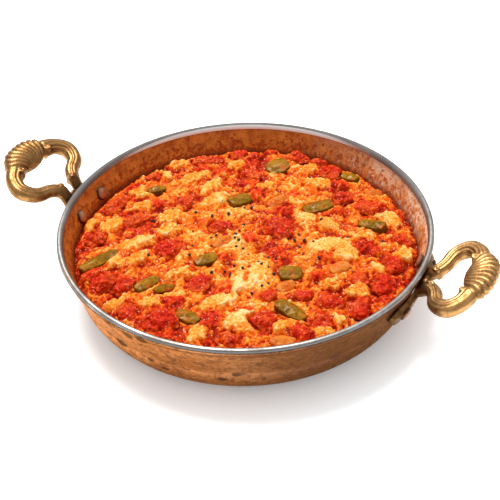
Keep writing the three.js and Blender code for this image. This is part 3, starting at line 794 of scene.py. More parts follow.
class MENEMEN_OT_rim(bpy.types.Operator):
    """Revolve the tinned bead over the lip"""

    bl_idname = "menemen.rim"
    bl_label = "Tinned rim"

    def execute(self, context):
        settled(revolved("tinned_rim", BEAD, FINISHES["tin"]), "tin", ["pan_rim"])
        return {"FINISHED"}


# ---- Handles ----

HANDLE_START, HANDLE_TILT, ARM_LEVEL, NECK = 108.0, math.radians(22.5), 36.0, (1.0, 9.0)
RIVET_HEIGHT = 32.5
PLATE_SPAN, PLATE_MIDDLE, PLATE_HALF_HEIGHT = 17.5, -1.8, 6.8
PLATE_THICKNESS, PLATE_GAP = 4.1, 0.5
# Half of the loop, from the plate to the grip: out, to the side, half width, half thickness.
LOOP_HALF = [
    (-6, 6.8, 4.6, 3.9), (2.3, 6.5, 4.4, 3.9), (9.1, 8, 4.3, 3.9), (13.2, 12, 4.3, 3.9),
    (17.5, 21.4, 4.8, 4.3), (25.7, 25.4, 5.4, 4.8), (32.6, 21.9, 5.3, 4.7), (36.5, 15.2, 6, 4.8),
    (40, 7, 8.4, 5), (40.2, 0, 9, 5.2)]
# Scroll curls at the ears and the feet: out, to the side, half out, half side, half thickness.
CURLS = [(33.6, 14.4, 3.4, 3.4, 4.9), (9.9, 5.9, 2.6, 2.1, 4.2)]
# Flutes along the arms: where on the tube in degrees, and how deep for its width.
FLUTES = ((152, 0.13), (122, 0.15), (93, 0.13), (64, 0.08))
CASTING_VOXEL = 0.0004
GRIP_START = 0.395
FAN_CENTRE, FAN_HALF_ANGLE = 24.0, math.radians(43)
# Each casting's turn round the pan, swing in its own plane, lean and the plate's turn in degrees,
# its level at the wall, its share of the full length, and where its two rivets stand.
HANDLES = [
    {"side": "right", "turn": 0.1, "swing": 2.7, "lean": 8.9, "level": 37.3, "reach": 0.92,
     "plate": 0.5, "rivets": (-11.6, 11.9)},
    {"side": "left", "turn": 184.6, "swing": -6.1, "lean": -1.1, "level": 43.8, "reach": 1.0,
     "plate": 183.0, "rivets": (175.4, 189.8)}]


def smooth_step(value, low, high):
    t = np.clip((value - low) / (high - low), 0, 1)
    return t * t * (3 - 2 * t)


def on_loop(handle, out, side, lift):
    """Points of a loop's own plane, placed at the pan. Near the wall the plane bends down."""
    swing, lean = math.radians(handle["swing"]), math.radians(handle["lean"])
    across = out * math.cos(swing) - side * math.sin(swing)
    aside = out * math.sin(swing) + side * math.cos(swing)
    bend = (handle["level"] - ARM_LEVEL) * (1 - smooth_step(across, *NECK))
    x = across * math.cos(HANDLE_TILT) - lift * math.sin(HANDLE_TILT)
    up = across * math.sin(HANDLE_TILT) + lift * math.cos(HANDLE_TILT) - bend
    return np.stack([HANDLE_START + x, aside * math.cos(lean) - up * math.sin(lean),
                     handle["level"] + aside * math.sin(lean) + up * math.cos(lean)], -1)


def through(rows, share):
    """A smooth curve through rows of numbers, at shares of its row count from 0 to 1."""
    rows = np.asarray(rows, float)
    at = np.clip(share, 0, 1) * (len(rows) - 1)
    start = np.minimum(at.astype(int), len(rows) - 2)
    t = (at - start)[:, None]
    padded = np.vstack([2 * rows[0] - rows[1], rows, 2 * rows[-1] - rows[-2]])
    a, b, c, d = (padded[start + k] for k in range(4))
    ab, bc, cd = (np.sqrt(np.linalg.norm(q - p, axis=1, keepdims=True)) + 1e-6
                  for p, q in ((a, b), (b, c), (c, d)))
    leave = ((b - a) / ab - (c - a) / (ab + bc)) * bc + c - b
    reach = ((d - c) / cd - (d - b) / (bc + cd)) * bc + c - b
    return ((2 * t ** 3 - 3 * t ** 2 + 1) * b + (t ** 3 - 2 * t ** 2 + t) * leave
            + (3 * t ** 2 - 2 * t ** 3) * c + (t ** 3 - t ** 2) * reach)


def tube_faces(rings, corners):
    faces = []
    for ring in range(rings - 1):
        for corner in range(corners):
            after = (corner + 1) % corners
            faces.append((ring * corners + corner, ring * corners + after,
                          (ring + 1) * corners + after, (ring + 1) * corners + corner))
    faces.append(tuple(range(corners))[::-1])
    faces.append(tuple((rings - 1) * corners + c for c in range(corners)))
    return faces


def fan_swell(out, side, on_grip):
    """Rounded ribs that spread like a shell's over the grip, with grooves between them."""
    angle = np.arctan2(side, out - FAN_CENTRE)
    reach = np.hypot(side, out - FAN_CENTRE)
    ribs = bpy.context.scene.menemen_pan.grip_ribs
    angle = angle + 0.05 * np.sin((reach - 8) * 0.34)
    phase = (angle / (2 * FAN_HALF_ANGLE) + 0.5) * ribs
    ridge = np.sqrt(np.clip(1 - (2 * (phase - np.floor(phase)) - 1) ** 2, 0, 1))
    inside = smooth_step(-np.abs(angle), -FAN_HALF_ANGLE - 0.03, -FAN_HALF_ANGLE + 0.03) * on_grip
    collar = np.exp(-((np.abs(angle) - FAN_HALF_ANGLE - 0.05) / 0.05) ** 2) * on_grip
    return inside * (0.27 * ridge - 0.16) - 0.12 * collar


def loop_surface(handle):
    """The loop's skin: fluted arms that swell into ears, and a grip with a shell's ribs."""
    rings, corners = 480, 72
    rows = np.array(LOOP_HALF + [(u, -v, w, t) for u, v, w, t in LOOP_HALF[-2::-1]])
    share = np.linspace(0, 1, rings)
    path, size = through(rows[:, :2], share), through(rows[:, 2:], share)
    ahead = np.gradient(path, axis=0)
    ahead /= np.linalg.norm(ahead, axis=1)[:, None]
    turn = np.linspace(0, 2 * math.pi, corners, endpoint=False)[None, :]
    along = share[:, None]
    width, lift = size[:, :1] * np.cos(turn), size[:, 1:] * np.sin(turn)
    out, side = path[:, :1] - ahead[:, 1:] * width, path[:, 1:] + ahead[:, :1] * width
    on_grip = smooth_step(0.5 - np.abs(along - 0.5), GRIP_START - 0.02, GRIP_START + 0.01)
    swell = 1 + fan_swell(out, side, on_grip)
    arm = (1 - on_grip) * smooth_step(0.5 - np.abs(along - 0.5), 0.05, 0.14)
    for centre, depth in FLUTES:
        swell = swell - arm * depth * np.exp(-((turn - math.radians(centre)) / 0.13) ** 2)
    middle = path * handle["reach"]
    out = middle[:, :1] - ahead[:, 1:] * width * swell
    side = middle[:, 1:] + ahead[:, :1] * width * swell
    return (on_loop(handle, out.ravel(), side.ravel(), (lift * swell).ravel()),
            tube_faces(rings, corners))


def knob_surface(handle, out, side, half_out, half_side, half_lift, curl=0):
    """A knob on the loop, with a spiral groove where it is a curl."""
    shape = bmesh.new()
    bmesh.ops.create_icosphere(shape, subdivisions=5, radius=1.0)
    unit = np.array([v.co for v in shape.verts])
    faces = [tuple(v.index for v in f.verts) for f in shape.faces]
    shape.free()
    radius = np.hypot(unit[:, 0], unit[:, 1])
    angle = np.arctan2(unit[:, 1], unit[:, 0]) * (1 if curl >= 0 else -1)
    groove = np.cos(angle - 8.0 * radius) if curl else np.zeros(len(unit))
    push = 1 + 0.13 * groove * smooth_step(radius, 0.12, 0.35)
    out, side = out * handle["reach"], side * handle["reach"]
    x, y, z = (unit * push[:, None]).T
    return on_loop(handle, out + half_out * x, side + half_side * y, half_lift * z), faces


def on_wall(angle, up, outward):
    """Points near the flared wall at the rivets' level."""
    sin, cos = math.sin(FLARE_ANGLE), math.cos(FLARE_ANGLE)
    radius = wall_radius(RIVET_HEIGHT) + up * sin + outward * cos
    height = RIVET_HEIGHT + up * cos - outward * sin
    return np.stack([radius * np.cos(angle), radius * np.sin(angle), height], -1)


def plate_surface(handle):
    """The plate under the rim: rounded ends, a raised border and a ring round each rivet."""
    rings, half_count = 150, 22
    stations = np.sin(np.linspace(-1, 1, rings) * math.pi / 2) * PLATE_SPAN
    share = np.abs(stations) / PLATE_SPAN
    half = np.maximum(PLATE_HALF_HEIGHT * (1 - share ** 3) ** (1 / 3), 1.2)
    across = np.sin(np.linspace(-1, 1, half_count) * math.pi / 2)
    edge = np.clip(1 - np.abs(across), 0, 1)
    points = []
    for station, reach, portion in zip(stations, half, share):
        rounding = (1 - (1 - np.clip(edge * 4, 0, 1)) ** 2) ** 0.5
        end = (1 - portion ** 24) ** 0.5
        border = 0.45 * np.exp(-((edge - 0.2) / 0.1) ** 2)
        up = PLATE_MIDDLE + across * reach
        for rivet in handle["rivets"]:
            apart = np.hypot(np.radians(station + handle["plate"] - rivet) * 107, up)
            border = border + 0.5 * np.exp(-((apart - 5.0) / 0.55) ** 2)
        face = (PLATE_THICKNESS - 0.5 + border) * rounding * max(end, 0.3)
        front = on_wall(np.radians(station), up, PLATE_GAP + face)
        back = on_wall(np.radians(station), up[::-1], PLATE_GAP + 0 * across)
        points.append(np.vstack([front, back]))
    return np.vstack(points), tube_faces(rings, 2 * half_count)


def turned(points, degrees):
    angle = math.radians(degrees)
    matrix = np.array([[math.cos(angle), math.sin(angle), 0],
                       [-math.sin(angle), math.cos(angle), 0], [0, 0, 1]])
    return points @ matrix


def clear_of_wall(points):
    """Moves what would sink into the wall out to its outside."""
    height = np.clip(points[:, 2], HEEL_HEIGHT, RIM_TOP)
    radius = np.hypot(points[:, 0], points[:, 1])
    least = wall_radius(height) + PLATE_GAP
    scale = np.where(radius < least, least / np.maximum(radius, 1e-6), 1)
    return points * np.stack([scale, scale, np.ones_like(scale)], 1)


def joined(surfaces):
    """Several surfaces as one list of points and faces."""
    points, faces, offset = [], [], 0
    for surface_points, surface_faces in surfaces:
        points.append(surface_points)
        faces += [tuple(i + offset for i in face) for face in surface_faces]
        offset += len(surface_points)
    return np.vstack(points), faces


class MENEMEN_OT_handles(bpy.types.Operator):
    """Cast both brass handles: loop, curls, web and plate in one skin"""

    bl_idname = "menemen.handles"
    bl_label = "Brass handles"

    def execute(self, context):
        for handle in HANDLES:
            points, faces = joined([
                loop_surface(handle), knob_surface(handle, 0, 0, 6, 5, 3.6),
                *(knob_surface(handle, out, side * aside, *halves, side)
                  for out, aside, *halves in CURLS for side in (-1, 1))])
            points = clear_of_wall(turned(points, handle["turn"]))
            plate, plate_faces = plate_surface(handle)
            casting = joined([(points, faces), (turned(plate, handle["plate"]), plate_faces)])
            piece = mesh_object("brass_handle_" + handle["side"], *casting, FINISHES["brass"])
            remeshed(piece, CASTING_VOXEL, 1)
            set_attribute(piece.data, "recess", recess_of(piece.data, 16, 0.00024))
            settled(piece, "brass", ["handle_" + handle["side"]])
        return {"FINISHED"}


def rivet_profile():
    """[radius, height] points of a rivet, from its domed head inside the wall to its flat one."""
    inner, outer = -(WALL + 0.55), PLATE_GAP + PLATE_THICKNESS - 0.35
    dome = [(4.2 * math.sin(a), inner - 2.1 * math.cos(a)) for a in np.radians(range(0, 91, 15))]
    flat = [(4.2, outer), (4.15, outer + 0.7), (3.8, outer + 1.25), (3.0, outer + 1.6),
            (1.6, outer + 1.8), (0, outer + 1.85)]
    return [*dome, (4.1, inner + 0.3), (2.2, inner + 0.35), (2.2, outer), *flat]


class MENEMEN_OT_rivets(bpy.types.Operator):
    """Set the four copper rivets through wall and plate"""

    bl_idname = "menemen.rivets"
    bl_label = "Rivets"

    def execute(self, context):
        head = bpy.data.meshes.new("helper_rivet")
        shape = bmesh.new()
        ring = [shape.verts.new((r * MM, 0, z * MM)) for r, z in rivet_profile()]
        wire = [shape.edges.new(pair) for pair in zip(ring, ring[1:])]
        bmesh.ops.spin(shape, geom=ring + wire, axis=(0, 0, 1), cent=(0, 0, 0),
                       angle=2 * math.pi, steps=40, use_merge=True)
        shape.to_mesh(head)
        shape.free()
        tidy_mesh(head, 1e-6)
        helper = added("helper_rivet", head)
        spots, names = [], []
        for handle in HANDLES:
            for degrees, end in zip(handle["rivets"], "ab"):
                angle = math.radians(degrees)
                place = on_wall(np.float64(angle), 0.0, 0.0) * MM
                tilt = Matrix.Rotation(angle, 3, "Z") @ Matrix.Rotation(
                    math.pi / 2 + FLARE_ANGLE, 3, "Y")
                spots.append((place, tuple(tilt.to_euler()), (1, 1, 1)))
                names.append(f"rivet_{handle['side']}_{end}")
        piece = scattered("copper_rivets", helper, spots, FINISHES["rivet_copper"],
                          0.0004, 180.0, 3.0)
        discard(helper)
        co = points_of(piece.data)
        away = np.full(len(co), 1.0)
        for place, turn, _ in spots:
            axis = np.array(Euler(turn).to_matrix() @ Vector((0, 0, 1)))
            offset = co - np.array(place)
            away = np.minimum(away, np.linalg.norm(offset - np.outer(offset @ axis, axis), axis=1))
        set_attribute(piece.data, "edge", smooth_step(away / MM, 3.0, 4.1))
        settled(piece, "rivet_copper", names)
        return {"FINISHED"}


# ---- Food ----

FOOD_EDGE, FOOD_CROWN, FOOD_SHOULDER = 27.0, 32.5, 5
# Lines of the egg's grid each way, and rounds of averaging for its broad and its close relief.
EGG_GRID, BROAD_ROUNDS, CLOSE_ROUNDS = 300, 110, 4
# Curds of egg: x, y, turn, length, width, height in millimetres.
CURDS = [
    (-58, 43, 54, 27, 12, 9), (-42, 38, 72, 18, 10, 9), (-33, 27, 68, 20, 12, 8),
    (23, 32, -35, 19, 12, 9), (49, 13, 36, 28, 14, 9), (59, 10, 83, 15, 11, 8),
    (-2, -3, 63, 26, 14, 8), (21, -26, 89, 24, 12, 9), (28, -66, 59, 22, 15, 9),
    (10, -59, 50, 22, 12, 9), (62, -18, 47, 15, 8, 9), (-75, 42, -11, 10, 10, 10),
    (-81, 19, -14, 17, 11, 9), (-72, 5, 40, 18, 9, 9), (-51, 1, 53, 17, 12, 9),
    (-45, -10, 48, 17, 11, 8), (-80, -17, 76, 18, 11, 9), (-62, -47, 54, 12, 11, 10),
    (-58, -29, 48, 18, 12, 9), (-51, -41, 57, 17, 11, 9), (5, 81, 42, 15, 12, 9),
    (19, 71, 19, 17, 11, 9), (72, 52, -39, 18, 12, 10), (90, 26, -20, 10, 10, 10),
    (78, -17, 43, 15, 9, 9), (78, -44, 23, 9, 9, 9), (52, -60, 55, 14, 9, 9),
    (10, -86, 72, 15, 10, 9), (-42, -78, 59, 14, 9, 10), (-24, -72, 59, 15, 9, 9),
    (-16, -64, 44, 15, 8, 8), (-22, -45, 44, 16, 10, 9), (73, -56, 39, 13, 8, 8),
    (-10, 22, 0, 18, 13, 7), (13, -40, 104, 20, 10, 8), (-10, 54, 51, 12, 9, 9),
    (11, 47, -40, 18, 9, 9), (39, 32, -11, 15, 12, 8), (63, 30, 45, 14, 9, 8),
    (81, 5, -30, 13, 8, 8), (-73, 59, 33, 14, 9, 8), (-39, 66, 65, 12, 10, 9),
    (60, -74, 36, 10, 7, 8), (-93, -21, 81, 13, 8, 8)]
# Palest egg: x, y, reach in millimetres.
PALE_SPOTS = [
    (-27, -5, 10), (-21, -31, 7), (-5, -4, 8), (12, -19, 7), (25, -36, 7), (25, -55, 9),
    (27, -68, 8), (8, -48, 6), (49, 8, 11), (24, 29, 6), (15, -40, 7), (10, 57, 7),
    (-24, 26, 8), (-45, 51, 6), (-51, -24, 6), (-39, -29, 6), (67, 53, 6), (46, -41, 5)]
# Small lumps of tomato in the egg: x, y, half length, half width.
RED_LUMPS = [
    (-34, 85, 6, 5), (-26, 93, 6, 4), (-43, 56, 6, 5), (58, 64, 6, 5), (10, 35, 6, 6),
    (9, 52, 5, 6), (-12, 43, 5, 6), (3, 1, 6, 6), (52, -16, 5, 6), (51, 3, 6, 4), (12, -71, 7, 8),
    (-12, -69, 8, 5), (-4, -22, 4, 5), (8, -47, 5, 8), (-92, -40, 5, 7), (63, -60, 8, 6),
    (69, 22, 9, 6), (-62, 12, 6, 5), (-70, -60, 8, 7), (-28, 4, 5, 4), (-56, 56, 6, 5),
    (94, -14, 5, 8), (30, 75, 8, 5), (-6, -90, 9, 5), (41, 47, 5, 4), (-88, 22, 5, 6)]


def food_level(radius):
    share = np.minimum(radius / wall_radius(FOOD_EDGE), 1)
    return FOOD_CROWN + (FOOD_EDGE - FOOD_CROWN) * share ** FOOD_SHOULDER


def noise_of(points_mm, scale, octaves=3, offset=0.0):
    """Smooth noise from about -1 to 1 at points in millimetres."""
    shift = Vector((offset, offset * 1.7, offset * 0.3))
    return np.array([
        noise.fractal(Vector(p) * scale + shift, 1.0, 2.0, octaves, noise_basis="PERLIN_ORIGINAL")
        for p in points_mm])


def granules(points_mm, pitch, seed):
    """Round crumbs packed side by side: height from 0 to 1 at points in millimetres."""
    random = np.random.default_rng(seed)
    low, high = points_mm.min(0) - pitch, points_mm.max(0) + pitch
    counts = np.maximum(np.ceil((high - low) / pitch).astype(int), 1)
    cells = np.indices(counts).reshape(3, -1).T
    if len(cells) > 400000:
        raise ValueError("too many crumbs")
    seeds = low + (cells + random.random(cells.shape) * 0.9) * pitch
    heights = 0.35 + 0.65 * random.random(len(seeds))
    tree = kdtree.KDTree(len(seeds))
    for i, seed_place in enumerate(seeds):
        tree.insert(seed_place, i)
    tree.balance()
    result = np.empty(len(points_mm))
    for i, place in enumerate(points_mm):
        best = 0.0
        for _, index, distance in tree.find_n(place, 2):
            best = max(best, heights[index] * (1 - (distance / pitch) ** 2))
        result[i] = best
    return result


def disc_grid(count, radius):
    """An even square grid pressed into a disc: points and the ring of its border."""
    line = np.linspace(-1, 1, count)
    u, v = np.meshgrid(line, line, indexing="ij")
    x = u * np.sqrt(1 - v ** 2 / 2) * radius
    y = v * np.sqrt(1 - u ** 2 / 2) * radius
    faces = []
    for i in range(count - 1):
        row = i * count
        faces += [(row + j, row + count + j, row + count + j + 1, row + j + 1)
                  for j in range(count - 1)]
    border = ([i * count for i in range(count)]
              + [(count - 1) * count + j for j in range(1, count)]
              + [i * count + count - 1 for i in range(count - 2, -1, -1)]
              + list(range(count - 2, 0, -1)))
    return np.stack([x.ravel(), y.ravel()], 1), faces, border


def ellipse_share(x, y, row):
    """0 in the middle of a piece, 1 at its outline."""
    cx, cy, turn, length, width = row[:5]
    angle = math.radians(turn)
    along = (x - cx) * math.cos(angle) + (y - cy) * math.sin(angle)
    across = (y - cy) * math.cos(angle) - (x - cx) * math.sin(angle)
    return np.hypot(2 * along / length, 2 * across / width)


def toppings():
    """Every topping node with its outline from above, from its own mesh."""
    rows = {}
    for name, node in frame["nodes"].items():
        if not name.startswith(("tomato", "green_pepper", "onion")):
            continue
        co = points_of(node.data) / MM
        flat = co[:, :2]
        middle = (flat.max(0) + flat.min(0)) / 2
        centred = flat - middle
        _, vectors = np.linalg.eigh(np.cov(centred.T))
        main = vectors[:, 1]
        cross = np.array([-main[1], main[0]])
        spread = [centred @ main, centred @ cross]
        middle = middle + sum(
            0.5 * (s.max() + s.min()) * axis for s, axis in zip(spread, (main, cross)))
        rows[name] = (middle[0], middle[1], math.degrees(math.atan2(main[1], main[0])),
                      np.ptp(spread[0]), np.ptp(spread[1]), co[:, 2].max())
    return rows


def egg_heights(flat, tops):
    """The egg's lumps over a grid: level of the bare food, rise of the curds and of red lumps, and
    how near the closest tomato and the closest slab of pepper or onion are."""
    x, y = flat.T
    space = np.column_stack([flat, 0 * x])
    wx, wy = (at + 3.4 * noise_of(space, 0.1, 1, shift) + 1.5 * noise_of(space, 0.33, 1, shift + 5)
              for at, shift in ((x, 50.3), (y, 61.7)))
    rise, red = np.zeros(len(flat)), np.zeros(len(flat))
    for row in CURDS:
        share = 0.74 * ellipse_share(wx, wy, row)
        rise += (0.70 * row[5] * np.clip(1 - share ** 2, 0, 1)) ** 3
    for cx, cy, long, wide in RED_LUMPS:
        share = np.hypot((wx - cx) / long, (wy - cy) / wide)
        red += (4.9 * np.sqrt(np.clip(1 - share ** 2, 0, 1))) ** 3
    near, slab = np.full(len(flat), 9.0), np.full(len(flat), 9.0)
    for name, row in tops.items():
        if name.startswith("tomato"):
            near = np.minimum(near, ellipse_share(wx, wy, row))
        else:
            slab = np.minimum(slab, ellipse_share(x, y, row))
    return food_level(np.hypot(x, y)), rise ** (1 / 3), red ** (1 / 3), near, slab


class MENEMEN_OT_egg(bpy.types.Operator):
    """Spread the crumbly scrambled egg with its curds, close round the pieces in it"""

    bl_idname = "menemen.egg"
    bl_label = "Scrambled egg"

    def execute(self, context):
        sizes = context.scene.menemen_food
        tops = toppings()
        edge = wall_radius(FOOD_EDGE) - WALL / math.cos(FLARE_ANGLE) - 0.05
        flat, faces, border = disc_grid(EGG_GRID, edge)
        base, rise, red, near, slab = egg_heights(flat, tops)
        space = np.column_stack([flat, base * 0])
        lumps = noise_of(space, 0.13, 4, 5.0)
        small = noise_of(space, 0.42, 3, 15.0)
        wavy = np.column_stack([flat, 2 * lumps])
        coarse = granules(wavy, sizes.crumb_size / MM, 11)
        fine = granules(space + 40.0, sizes.grain_size / MM, 12)
        under = 1 - smooth_step(near, 0.72, 0.98)
        fill = 1.6 + 2.4 * lumps + 0.9 * small
        mass = np.maximum(rise, red) * (1 + 0.22 * lumps + 0.3 * small)
        body = (np.clip(fill, 0, None) ** 3 + np.clip(mass, 0, None) ** 3) ** (1 / 3)
        body = body * (1 - under) + np.minimum(body, 0.6) * under
        body = np.minimum(body, 1.3 + 3.5 * smooth_step(slab, 0.85, 1.5))
        under = np.maximum(under, 0.6 * (1 - smooth_step(slab, 0.8, 1.1)))
        crumbs = (0.7 * coarse + 0.42 * fine) * (1 - 0.5 * under) + 0.3 * small
        height = base + body + crumbs - 0.75
        radius = np.hypot(*flat.T)
        height -= 2.2 * smooth_step(radius, edge - 4, edge)
        pairs = np.array([(a, b) for f in faces for a, b in ((f[0], f[1]), (f[1], f[2]))])
        lift = height - averaged(height, pairs, BROAD_ROUNDS)
        close = height - averaged(height, pairs, CLOSE_ROUNDS)
        # Painted shade and light: the egg is darker in its hollows and paler on its lumps, broad
        # and close; the paler places of the egg itself are added below.
        tone = 0.452 + 0.13 * lift + 0.25 * close
        points, sides = self.closed(flat, height, border)
        piece = mesh_object("scrambled_egg", points, faces + sides, FINISHES["egg"])
        extra = len(points) - len(flat)
        tone += self.paleness(flat, rise, lumps)
        set_attribute(piece.data, "tone", np.pad(np.clip(tone, 0, 1), (0, extra)))
        sauce = self.sauce(flat, rise, red, np.minimum(near, slab + 0.15), radius, edge)
        set_attribute(piece.data, "sauce", np.pad(sauce, (0, extra)))
        tidy_mesh(piece.data)
        settled(piece, "egg", ["menemen"])
        return {"FINISHED"}

    def closed(self, flat, height, border):
        """Adds the side along the wall and the underside to the top's points."""
        points = [np.column_stack([flat, height])]
        profile = wall_profile(WALL + 0.15, 8, 12)
        inside = [p for p in profile if p[1] < FOOD_EDGE - 3][::-1]
        angles = np.arctan2(flat[border, 1], flat[border, 0])
        sides, previous, offset = [], border, len(flat)
        for radius, level in inside[::2]:
            ring = np.column_stack([radius * np.cos(angles), radius * np.sin(angles),
                                    np.full(len(border), level)])
            points.append(ring)
            current = list(range(offset, offset + len(border)))
            sides += [(previous[i], current[i], current[i - 1], previous[i - 1])
                      for i in range(len(border))]
            previous, offset = current, offset + len(border)
        sides.append(tuple(previous))
        return np.vstack(points), sides

    def paleness(self, flat, rise, lumps):
        x, y = flat.T
        pale = 0.08 * np.clip(lumps, -1, 1) + 0.05 * smooth_step(rise, 1.0, 4.5) - 0.02
        for px, py, reach in PALE_SPOTS:
            pale += 0.2 * np.exp(-((x - px) ** 2 + (y - py) ** 2) / (1.3 * reach) ** 2)
        return pale

    def sauce(self, flat, rise, red, near, radius, edge):
        """How red the egg is: on its red lumps, round the pieces, near the wall, in patches."""
        space = np.column_stack([flat, radius * 0])
        patch = noise_of(space, 0.055, 3, 31.0) + 0.35 * noise_of(space, 0.3, 3, 47.0)
        share = smooth_step(red, 0.4, 4.2)
        share = np.maximum(share, 0.7 * (1 - smooth_step(near, 0.8, 1.6)))
        outer = smooth_step(radius, 20, 95)
        share = np.maximum(share, 0.8 * smooth_step(patch + 0.2 * outer, 0.12, 0.7)
                           * (1 - 0.7 * smooth_step(rise, 1.5, 4)))
        share = np.maximum(share, 0.7 * smooth_step(radius, edge - 6, edge))
        return np.clip(share, 0, 1)


def skins(kind, voxel, smooth_rounds):
    """For each CAD node of a kind, a fused, softened copy: its mesh, points in mm and normals."""
    for name in sorted(frame["nodes"]):
        if not name.startswith(kind):
            continue
        mesh = frame["nodes"][name].data.copy()
        tidy_mesh(mesh, 1e-6)
        piece = remeshed(linked(name + "_skin", mesh, FINISHES[kind]), voxel, smooth_rounds)
        piece.data.materials.clear()
        piece.data.materials.append(FINISHES[kind])
        yield piece.data, points_of(piece.data) / MM, normals_of(piece.data)
        settled(piece, kind, [name])


def pushed(mesh, co, normals, push):
    """Moves points along their normals. All are in millimetres."""
    set_points(mesh, (co + normals * push[:, None]) * MM)


class MENEMEN_OT_tomatoes(bpy.types.Operator):
    """Turn each tomato node into a pulpy lump"""

    bl_idname = "menemen.tomatoes"
    bl_label = "Tomato pieces"

    def execute(self, context):
        for mesh, co, normals in skins("tomato", 0.0005, 5):
            crumbs = 0.18 * granules(co, 1.8, 21) + 0.24 * noise_of(co, 0.8, 3, 12.0)
            lumps = 1.7 * noise_of(co, 0.16, 2, 2.0) + 1.2 * noise_of(co, 0.32, 2, 7.0)
            pushed(mesh, co, normals, lumps + crumbs - 0.1)
            co, pairs = points_of(mesh) / MM, edges_of(mesh)
            level = co[:, 2] - food_level(np.hypot(co[:, 0], co[:, 1]))
            # Painted shade: each lump is darker where its skin lies below its neighbours, paler on
            # its bumps.
            close = ((co - averaged(co, pairs, 5)) * normals_of(mesh)).sum(1)
            set_attribute(mesh, "tone", np.clip(0.5 + 0.75 * close, 0, 1))
            set_attribute(mesh, "fringe", 1 - smooth_step(level, 1.6, 4.0))
        return {"FINISHED"}


class MENEMEN_OT_peppers(bpy.types.Operator):
    """Turn each green pepper node into a wrinkled, glossy slab"""

    bl_idname = "menemen.peppers"
    bl_label = "Green pepper pieces"

    def execute(self, context):
        for mesh, co, normals in skins("green_pepper", 0.0005, 2):
            wrinkles = 0.5 * noise_of(co, 0.22, 3, 8.0) + 0.12 * noise_of(co, 0.9, 2, 4.0)
            pushed(mesh, co, normals, wrinkles)
            # Painted shade: the steep sides of each slab are darkened.
            steep = 1 - smooth_step(np.abs(normals_of(mesh)[:, 2]), 0.35, 0.75)
            set_attribute(mesh, "cut_edge", averaged(steep, edges_of(mesh), 2))
        return {"FINISHED"}


class MENEMEN_OT_onions(bpy.types.Operator):
    """Turn each onion node into a soft ribbed slice"""

    bl_idname = "menemen.onions"
    bl_label = "Onion pieces"

    def execute(self, context):
        for mesh, co, normals in skins("onion", 0.0006, 4):
            soft = 0.7 * noise_of(co, 0.22, 3, 6.0) + 0.35 * granules(co, 1.8, 22) - 0.2
            pushed(mesh, co, normals, soft)
        return {"FINISHED"}


# Coarse pepper grains: x and y in millimetres.
GRAINS = [
    (-52, 7), (-57, -6), (-60, -5), (-56, 22), (-44, 19), (-39, 12), (-33, -4), (-27, -17),
    (-45, -37), (-24, -26), (-19, -7), (-16, -13), (-5, -4), (-2, -5), (-1, -11), (3, -10),
    (-7, 12), (-8, 3), (-19, 17), (-28, 12), (-18, -3), (-28, 40), (-10, 30), (-12, 24), (-7, 7),
    (27, 16), (27, 10), (32, 13), (35, 32), (39, 10), (36, 1), (24, -9), (4, -24), (13, -22),
    (17, -19), (24, -21), (1, -31), (5, -31), (7, -35), (27, -36), (24, -43), (29, -24),
    (29, -32), (47, 0), (55, 25), (73, 33), (57, -41), (32, 7), (20, -21), (10, -26), (20, -12),
    (-4, -37)]


def surface_below(names):
    """Casts down onto pieces: a function that gives the highest point and normal at x, y."""
    graph = bpy.context.evaluated_depsgraph_get()
    trees = [BVHTree.FromObject(bpy.data.objects[name], graph) for name in names]

    def touch(x, y):
        best = None
        for tree in trees:
            hit, normal, _, _ = tree.ray_cast(Vector((x, y, 0.2)), Vector((0, 0, -1)))
            if hit is not None and (best is None or hit.z > best[0].z):
                best = (hit, normal)
        return best

    return touch


class MENEMEN_OT_pepper_grains(bpy.types.Operator):
    """Sprinkle coarse grains and fine dust of black pepper"""

    bl_idname = "menemen.pepper_grains"
    bl_label = "Black pepper"

    def execute(self, context):
        skins = [o.name for o in bpy.data.objects if o.name.endswith("_skin")]
        touch = surface_below(["scrambled_egg", *skins])
        random = np.random.default_rng(7)
        spots = []
        wanted = [(x, y, random.uniform(1.6, 2.4)) for x, y in GRAINS]
        for _ in range(context.scene.menemen_food.pepper_dust):
            x, y = random.normal(0, 1, 2) * (26, 22) + (2, 2)
            wanted.append((x, y, random.uniform(0.35, 0.8)))
        for x, y, width in wanted:
            found = touch(x * MM, y * MM)
            if found is None:
                continue
            size = width / 2 * MM * random.uniform(0.8, 1.2, 3)
            spots.append((found[0] + found[1] * size[2] * 0.35, random.uniform(0, 6.28, 3), size))
        helper = ball(1)
        piece = scattered("pepper_grains", helper, spots, FINISHES["black_pepper"],
                          0.0004, 900.0, 5.0)
        discard(helper)
        settled(piece, "egg")
        return {"FINISHED"}


# ---- Stage ----

FLOOR_HALF = 4000
CAMERA_HEIGHT, CAMERA_DISTANCE, CAMERA_LENS = 0.046, 0.75875, 93.6
# The camera's angle above the table, and how far it is then turned aside, tipped and rolled.
CAMERA_RISE, *CAMERA_TURNS = (math.radians(a) for a in (36.967, 0.177, -1.183, -2.065))


def from_camera(x, y, z):
    """A point given to the camera's right, away from it and up, in the pan's frame."""
    return Vector((x * math.cos(VIEW_TURN) - y * math.sin(VIEW_TURN),
                   x * math.sin(VIEW_TURN) + y * math.cos(VIEW_TURN), z))


def camera_axes():
    """Right, up and forward of the photo's camera, before the stage's own turn."""
    forward = Vector((0, math.cos(CAMERA_RISE), -math.sin(CAMERA_RISE)))
    right = Vector((1, 0, 0))
    up = right.cross(forward)

    def rolled(a, b, angle):
        sin, cos = math.sin(angle), math.cos(angle)
        return a * cos + b * sin, b * cos - a * sin

    aside, tip, roll = CAMERA_TURNS
    forward, right = rolled(forward, right, aside)
    forward, up = rolled(forward, up, tip)
    right, up = rolled(right, up, roll)
    return [from_camera(*axis) for axis in (right, up, forward)]


